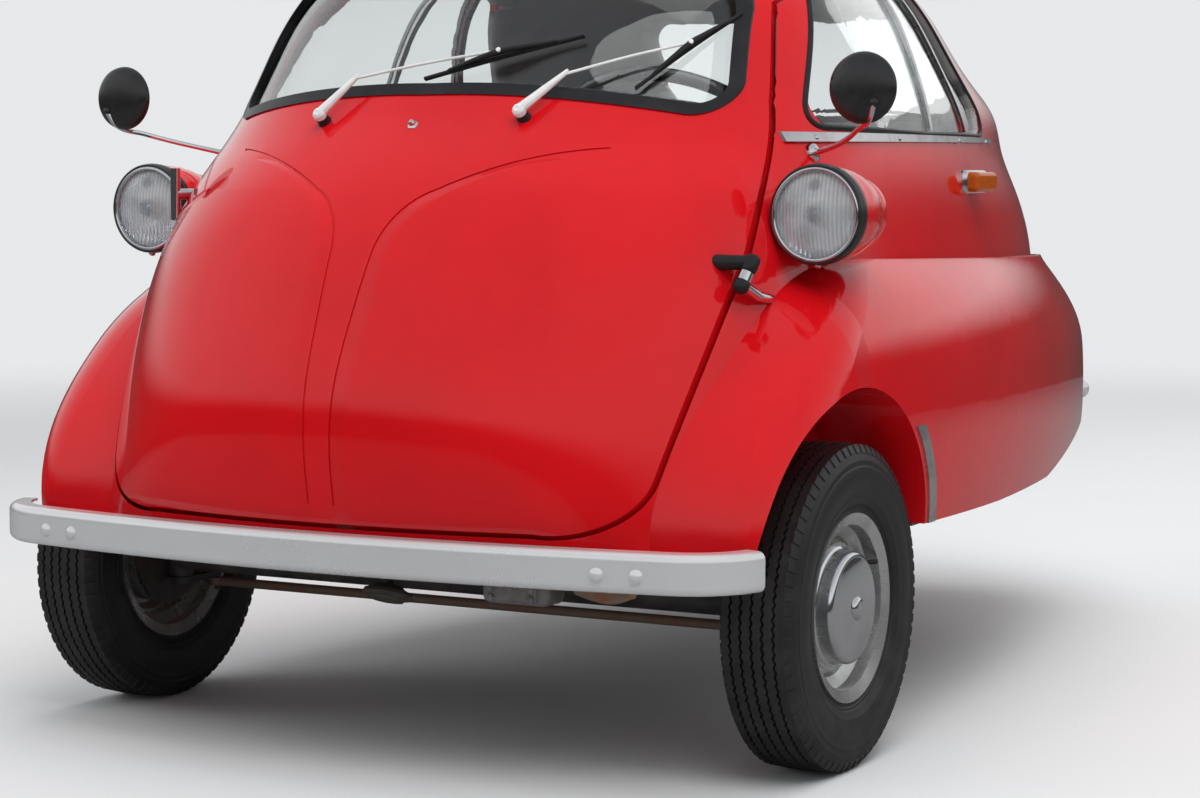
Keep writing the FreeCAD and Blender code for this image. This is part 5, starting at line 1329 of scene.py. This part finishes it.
class BUBBLECAR_OT_seats(bpy.types.Operator):
    """Padded bench and its backrest, with sewn channels and welts."""

    bl_idname = "bubblecar.seats"
    bl_label = "Seats"

    def execute(self, context):
        swell = context.scene.bubble_sizes.pad_swell
        low, high = CUSHION
        cushion = stuffed("bench_cushion", low, high, swell)
        seat_pleats(cushion, low, high, 2, high.z)
        done(cushion, "striped_cloth", "body", 60.0)
        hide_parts("seat_cushion")
        welt = piping("bench_welt", low, high, high.z - WELT_BELOW, 2)
        done(welt, "black_rubber", "body", 60.0)

        low, high = BACK
        back = stuffed("bench_backrest", low, high, swell)
        seat_pleats(back, low, high, 1, low.y)
        lean = (Matrix.Translation(BACK_FOOT) @ Matrix.Rotation(-BACK_LEAN, 4, "X")
                @ Matrix.Translation(-BACK_FOOT))
        back_welt = piping("backrest_welt", low, high, low.y + WELT_BELOW, 1)
        for obj in (back, back_welt):
            obj.matrix_world = lean
        done(back, "striped_cloth", "body", 60.0)
        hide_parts("seat_backrest")
        done(back_welt, "black_rubber", "body", 60.0)
        return {"FINISHED"}

# Folding roof: half width, front and rear of the cloth, in metres
ROOF_HALF = 0.320
ROOF_FRONT = FRONT_AXLE_Y + 0.230
ROOF_REAR = FRONT_AXLE_Y + 0.820
ROOF_CORNER = 0.086
ROOF_CELLS = 72
ROOF_BOWS = (0.385, 0.525, 0.665)
ROOF_ABOVE = 1.5

# Shape of the stretched cloth, in metres: sag between the bows, puckers near the rim, and the sewn seam
SAG = 0.0065
SAG_REACH = 0.07
RIM_REACH = 0.06
PUCKER = 0.0014
PUCKER_TURNS = 190.0
PUCKER_IN = 0.012
SEAM = 0.0022
SEAM_IN = 0.018
SEAM_WIDTH = 0.003
CLOTH_THICK = 0.0045


class BUBBLECAR_OT_folding_roof(bpy.types.Operator):
    """Cloth of the folding roof, stretched over its bows."""

    bl_idname = "bubblecar.folding_roof"
    bl_label = "Folding roof"

    def execute(self, context):
        clear()
        middle = (ROOF_FRONT + ROOF_REAR) / 2
        half_length = (ROOF_REAR - ROOF_FRONT) / 2
        bpy.ops.mesh.primitive_grid_add(x_subdivisions=ROOF_CELLS, y_subdivisions=ROOF_CELLS, size=2.0,
                                        location=(0.0, middle, ROOF_ABOVE))
        cloth = fresh("roof_cloth")
        for vertex in cloth.data.vertices:
            x = vertex.co.x * ROOF_HALF
            y = (vertex.co.y - middle) * half_length
            edge_x = max(abs(x) - (ROOF_HALF - ROOF_CORNER), 0.0)
            edge_y = max(abs(y) - (half_length - ROOF_CORNER), 0.0)
            if edge_x > 0.0 and edge_y > 0.0:
                inwards = 1.0 - max(edge_x, edge_y) / math.hypot(edge_x, edge_y)
                x -= math.copysign(edge_x * inwards, x)
                y -= math.copysign(edge_y * inwards, y)
            vertex.co.x = x
            vertex.co.y = middle + y
        modified(cloth, "SHRINKWRAP", target=NODES["roof_fabric"], wrap_method="PROJECT", use_project_x=False,
                 use_project_y=False, use_project_z=True, use_negative_direction=True,
                 use_positive_direction=False)
        for vertex in cloth.data.vertices:
            behind = vertex.co.y - FRONT_AXLE_Y
            near = min(abs(behind - bow) for bow in ROOF_BOWS)
            rim = min(ROOF_HALF - abs(vertex.co.x), vertex.co.y - ROOF_FRONT, ROOF_REAR - vertex.co.y)
            inner = min(max(rim / RIM_REACH, 0.0), 1.0)
            sag = SAG * (1.0 - math.cos(math.pi * min(near / SAG_REACH, 1.0))) / 2 * inner
            wave = math.sin(vertex.co.y * PUCKER_TURNS)
            pucker = PUCKER * wave * (1.0 - inner) * min(rim / PUCKER_IN, 1.0)
            seam = SEAM * math.exp(-((rim - SEAM_IN) / SEAM_WIDTH) ** 2)
            vertex.co.z -= sag + abs(pucker) + seam
        modified(cloth, "SOLIDIFY", thickness=CLOTH_THICK, offset=-1.0)
        done(cloth, "hood_cloth", "body", 50.0)
        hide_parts("roof_fabric")
        return {"FINISHED"}


def liner(name, node, keep):
    """A thin lining over a CAD node's inner faces, from a merged copy of its mesh."""
    obj = copied(NODES[node], name)
    for key in list(obj.keys()):
        del obj[key]
    obj.parent = None
    closed_up(obj, flip_check=False)
    pick(obj, lambda face: not keep(face))
    bpy.ops.mesh.delete(type="FACE")
    bpy.ops.object.mode_set(mode="OBJECT")
    normals = [vertex.normal.copy() for vertex in obj.data.vertices]
    for vertex, normal in zip(obj.data.vertices, normals):
        vertex.co += normal * LINER_LIFT
    return obj


# Linings: how far a face turns inwards, and the height from which a lining starts, in metres
ROOF_INWARDS = -0.02
ROOF_LINING_FOOT = 0.36
DOOR_INWARDS = 0.30
DOOR_LINING_FOOT = 0.42

# Dial: its middle and the way it faces, and its marks by angle in degrees and distance in metres
DIAL = spot(280, 62.5, 829)
DIAL_WAY = Vector((0.0, 0.832, 0.555))
MARKS = 13
MARK_FIRST = -210
MARK_STEP = 20
MARK_OUT = 0.042
MARK_LIFT = 0.0012
NEEDLE_AT = -200
NEEDLE_LIFT = 0.0034


def dial_marks():
    """Marks round the dial, and its needle."""
    turn = DIAL_WAY.to_track_quat("Z", "Y").to_matrix()

    def toward(degrees):
        angle = math.radians(degrees)
        return turn @ Vector((math.cos(angle), math.sin(angle), 0.0))

    marks = []
    face = DIAL + DIAL_WAY * MARK_LIFT
    for number in range(MARKS):
        way = toward(MARK_FIRST + MARK_STEP * number)
        length = 0.009 if number % 2 == 0 else 0.005
        marks.append(rod_run("mark", [face + way * (MARK_OUT - length), face + way * MARK_OUT], 0.7, sides=1))
    way = toward(NEEDLE_AT)
    face = DIAL + DIAL_WAY * NEEDLE_LIFT
    marks.append(rod_run("needle", [face - way * 0.010, face + way * 0.034], 1.0, [1.2, 0.5], sides=1))
    done(joined("dial_marks", *marks), "ivory_plastic", "door")


class BUBBLECAR_OT_cabin(bpy.types.Operator):
    """Pale linings, the floor mat, the instrument and the horn button."""

    bl_idname = "bubblecar.cabin"
    bl_label = "Cabin"

    def execute(self, context):
        def roof_inside(face):
            inwards = face.normal.dot(face.center - CABIN_MIDDLE)
            return inwards < ROOF_INWARDS and face.center.z > ROOF_LINING_FOOT

        def door_inside(face):
            return face.normal.y > DOOR_INWARDS and face.center.z > DOOR_LINING_FOOT

        head = liner("roof_lining", "roof_shell", roof_inside)
        done(head, "pale_liner", "body", 60.0)
        door = liner("door_lining", "door_skin", door_inside)
        done(door, "pale_liner", "door", 60.0)
        mat = slab("floor_mat", spot(-400, -150, 348.2), spot(400, 440, 353), 1.5)
        done(mat, "woven_mat", "body")

        rows = [(46, -4), (53.5, -4), (54, 0), (52.6, 4.2), (49.4, 5.2), (47, 3.6), (46, 1)]
        turned("dial_bezel", "bright_chrome", rows, DIAL, DIAL_WAY, 64, 50.0, "door")
        rows = [(0, -2), (47, -2), (47, 0.8), (8, 1.0), (6, 2.8), (0, 3.0)]
        turned("dial_plate", "dial_face", rows, DIAL, DIAL_WAY, 64, body="door")
        dial_marks()
        rows = [(0, -2), (21, -2), (21, 2), (17, 5), (9, 7), (0, 7.6)]
        turned("horn_button", "smooth_plastic", rows, STEERING_HUB + STEERING_WAY * 0.018, STEERING_WAY, 40,
               body="steering_wheel")
        return {"FINISHED"}


class BUBBLECAR_OT_underside(bpy.types.Operator):
    """Horn, steering housing and stay that show under the bumper."""

    bl_idname = "bubblecar.underside"
    bl_label = "Underside"

    def execute(self, context):
        rows = [(0, -14), (20, -14), (24, -10), (36, -5), (38, 0), (36, 4), (27, 6), (25, 9), (12, 11),
                (0, 11.5)]
        disc = spun("horn", rows, spot(60, -318, 262), (0.0, -0.35, -0.94), 48)
        strap = rod_run("strap", [spot(60, -300, 340), spot(60, -306, 300), spot(60, -312, 270)], 5.0)
        done(joined("front_horn", disc, strap), "black_frame_paint", "body")
        case = slab("case", spot(222, -322, 262), spot(334, -262, 300), 12.0)
        lid = slab("lid", spot(236, -328, 268), spot(318, -318, 294), 4.0)
        post = rod_run("post", [spot(278, -292, 342), spot(278, -292, 290)], 16.0, curved=False)
        rows = [(0, 0), (5.5, 0), (5.5, 4), (3, 5), (0, 5)]
        studs = [spun("stud", rows, spot(x, -328, z), FORWARD, 6) for x in (243, 311) for z in (274, 288)]
        done(joined("front_housing", case, lid, post, *studs), "cast_alloy", "body")
        arm = rod_run("arm", [spot(476, -330, 300), spot(440, -318, 288), spot(404, -300, 286),
                              spot(366, -290, 292)], 7.0, flat=5.0)
        leg = rod_run("leg", [spot(440, -318, 288), spot(440, -300, 318), spot(440, -290, 342)], 7.0)
        done(joined("front_stay", arm, leg), "rusty_steel", "body")
        return {"FINISHED"}


# Stage: sizes of the studio in metres, and where the floor and the ring fade away
FLOOR_R = 12.0
FLOOR_FADE = (3.0, 8.5)
RING_R = 7.5
RING_DEPTH = 2.4
RING_MIDDLE = 1.15
RING_FADE = (1.1, 2.3)
SKY_FADE = (0.30, 0.85)
SKY_LIGHT = (0.86, 0.88, 0.90)
SKY_STRENGTH = 0.50

# Soft lamps: name, place, aim, size and watts
SOFT_LAMPS = [
    ("key", (2.5, -3.0, 5.2), (0.0, 0.0, 0.5), (4.0, 4.0), 210.0),
    ("fill", (-5.0, -3.0, 2.6), (0.0, 0.0, 0.6), (3.5, 2.5), 70.0),
    ("top", (0.0, 0.8, 5.2), (0.0, 0.2, 0.0), (4.5, 4.5), 120.0),
    ("back", (1.0, 5.5, 3.2), (0.0, 0.0, 0.6), (3.5, 2.5), 80.0),
]


def soft_lamp(name, place, aim, size, power):
    """A broad lamp that reflections don't show."""
    data = bpy.data.lights.new(name, "AREA")
    data.shape = "RECTANGLE"
    data.size, data.size_y = size
    data.energy = power
    lamp = bpy.data.objects.new(name, data)
    bpy.context.scene.collection.objects.link(lamp)
    lamp.location = place
    lamp.visible_glossy = False
    lamp.rotation_euler = (Vector(aim) - Vector(place)).to_track_quat("-Z", "Y").to_euler()


def pale_floor():
    """Floor that keeps the car's shadow and fades into the backdrop far away."""
    clear()
    bpy.ops.mesh.primitive_circle_add(vertices=96, radius=FLOOR_R, fill_type="NGON")
    floor = fresh("studio_floor")
    material, tree, shader = new_material("pale_floor", Roughness=0.9)
    glossy = tree.nodes.new("ShaderNodeLightPath").outputs["Is Glossy Ray"]
    pale = blended(tree, noise(tree, object_place(tree), 1.5, 4.0), *FLOOR_SEEN)
    link(tree, blended(tree, glossy, pale, FLOOR_REFLECTED), shader.inputs["Base Color"])
    reach = tree.nodes.new("ShaderNodeVectorMath")
    reach.operation = "LENGTH"
    link(tree, object_place(tree), reach.inputs[0])
    fade = span(tree, reach.outputs["Value"], *FLOOR_FADE, 0.0, 1.0, True)
    fade = times(tree, fade, minus(tree, 1.0, glossy))
    through = tree.nodes.new("ShaderNodeBsdfTransparent")
    shaders_mixed(tree, fade, shader.outputs[0], through.outputs[0], "Material Output")
    floor.data.materials.append(material)


def studio_world(scene):
    """Even pale backdrop for the camera and reflections, and a soft sky that lights the car."""
    world = bpy.data.worlds.new("studio")
    scene.world = world
    world.use_nodes = True
    tree = world.node_tree
    sky = tree.nodes["Background"]
    sky.inputs["Color"].default_value = (*SKY_LIGHT, 1.0)
    sky.inputs["Strength"].default_value = SKY_STRENGTH
    seen = tree.nodes.new("ShaderNodeBackground")
    seen.inputs["Strength"].default_value = 1.0
    parts = tree.nodes.new("ShaderNodeSeparateXYZ")
    link(tree, tree.nodes.new("ShaderNodeTexCoord").outputs["Generated"], parts.inputs[0])
    height = span(tree, parts.outputs[2], *SKY_FADE, 0.0, 1.0, True)
    link(tree, blended(tree, height, BACKDROP, ZENITH), seen.inputs["Color"])
    path = tree.nodes.new("ShaderNodeLightPath").outputs
    either = plus(tree, path["Is Camera Ray"], path["Is Glossy Ray"], True)
    either = plus(tree, either, path["Is Transmission Ray"], True)
    shaders_mixed(tree, either, sky.outputs[0], seen.outputs[0], "World Output")


def horizon_flag():
    """A dark ring round the studio that only shows in reflections, soft towards its top."""
    clear()
    bpy.ops.mesh.primitive_cylinder_add(vertices=96, radius=RING_R, depth=RING_DEPTH, end_fill_type="NOTHING",
                                        location=(0.0, 0.0, RING_MIDDLE))
    flag = fresh("studio_flag")
    for kind in ("camera", "diffuse", "transmission", "shadow", "volume_scatter"):
        setattr(flag, "visible_" + kind, False)
    material, tree, shader = new_material("dark_flag", Roughness=1.0, Specular_IOR_Level=0.0)
    shade = noise(tree, object_place(tree), 0.6, 3.0)
    link(tree, blended(tree, shade, FLAG, tuple(1.5 * c for c in FLAG)), shader.inputs["Base Color"])
    fade = span(tree, split_place(tree)[2], *RING_FADE, 0.0, 1.0, True)
    through = tree.nodes.new("ShaderNodeBsdfTransparent")
    shaders_mixed(tree, fade, shader.outputs[0], through.outputs[0], "Material Output")
    flag.data.materials.append(material)


class BUBBLECAR_OT_stage(bpy.types.Operator):
    """Adds the floor, the soft lamps and the camera."""

    bl_idname = "bubblecar.stage"
    bl_label = "Stage"

    def execute(self, context):
        scene = context.scene
        sizes = scene.bubble_stage
        pale_floor()
        horizon_flag()
        studio_world(scene)
        for name, place, aim, size, watts in SOFT_LAMPS:
            soft_lamp(name, place, aim, size, watts * sizes.lamp_power)

        data = bpy.data.cameras.new("photo_view")
        data.sensor_width = 36.0
        data.lens = sizes.lens
        data.clip_end = 200.0
        camera = bpy.data.objects.new("photo_view", data)
        scene.collection.objects.link(camera)
        camera.location = sizes.eye
        camera.rotation_euler = (math.pi / 2 - sizes.pitch, sizes.roll, sizes.yaw)
        scene.camera = camera
        scene.view_settings.view_transform = "Standard"
        return {"FINISHED"}


PIECE_OPERATORS = [
    BUBBLECAR_OT_finishes, BUBBLECAR_OT_tyres, BUBBLECAR_OT_wheel_trim, BUBBLECAR_OT_headlamps,
    BUBBLECAR_OT_mirrors, BUBBLECAR_OT_wipers, BUBBLECAR_OT_hinges, BUBBLECAR_OT_signals,
    BUBBLECAR_OT_fastenings, BUBBLECAR_OT_window_rubbers, BUBBLECAR_OT_seats, BUBBLECAR_OT_folding_roof,
    BUBBLECAR_OT_cabin, BUBBLECAR_OT_underside, BUBBLECAR_OT_stage,
]


class BUBBLECAR_PT_panel(bpy.types.Panel):
    """Sidebar list of the car's pieces and sizes."""

    bl_label = "Bubble Car"
    bl_idname = "BUBBLECAR_PT_panel"
    bl_space_type = "VIEW_3D"
    bl_region_type = "UI"
    bl_category = "Bubble Car"

    def draw(self, context):
        for operator in PIECE_OPERATORS:
            self.layout.operator(operator.bl_idname)
        scene = context.scene
        for group in (scene.bubble_colours, scene.bubble_sizes, scene.bubble_stage):
            for key in group.bl_rna.properties.keys():
                if key not in ("rna_type", "name"):
                    self.layout.prop(group, key)


CLASSES = [CarColours, PieceSizes, StageSizes, BUBBLECAR_PT_panel, *PIECE_OPERATORS]


def register():
    for cls in CLASSES:
        bpy.utils.register_class(cls)
    bpy.types.Scene.bubble_colours = bpy.props.PointerProperty(type=CarColours)
    bpy.types.Scene.bubble_sizes = bpy.props.PointerProperty(type=PieceSizes)
    bpy.types.Scene.bubble_stage = bpy.props.PointerProperty(type=StageSizes)


def unregister():
    del bpy.types.Scene.bubble_colours
    del bpy.types.Scene.bubble_sizes
    del bpy.types.Scene.bubble_stage
    for cls in reversed(CLASSES):
        bpy.utils.unregister_class(cls)


def main():
    register()
    for operator in PIECE_OPERATORS:
        getattr(bpy.ops.bubblecar, operator.bl_idname.split(".")[1])()
    clear()
    bpy.context.view_layer.update()


if __name__ == "__main__":
    main()
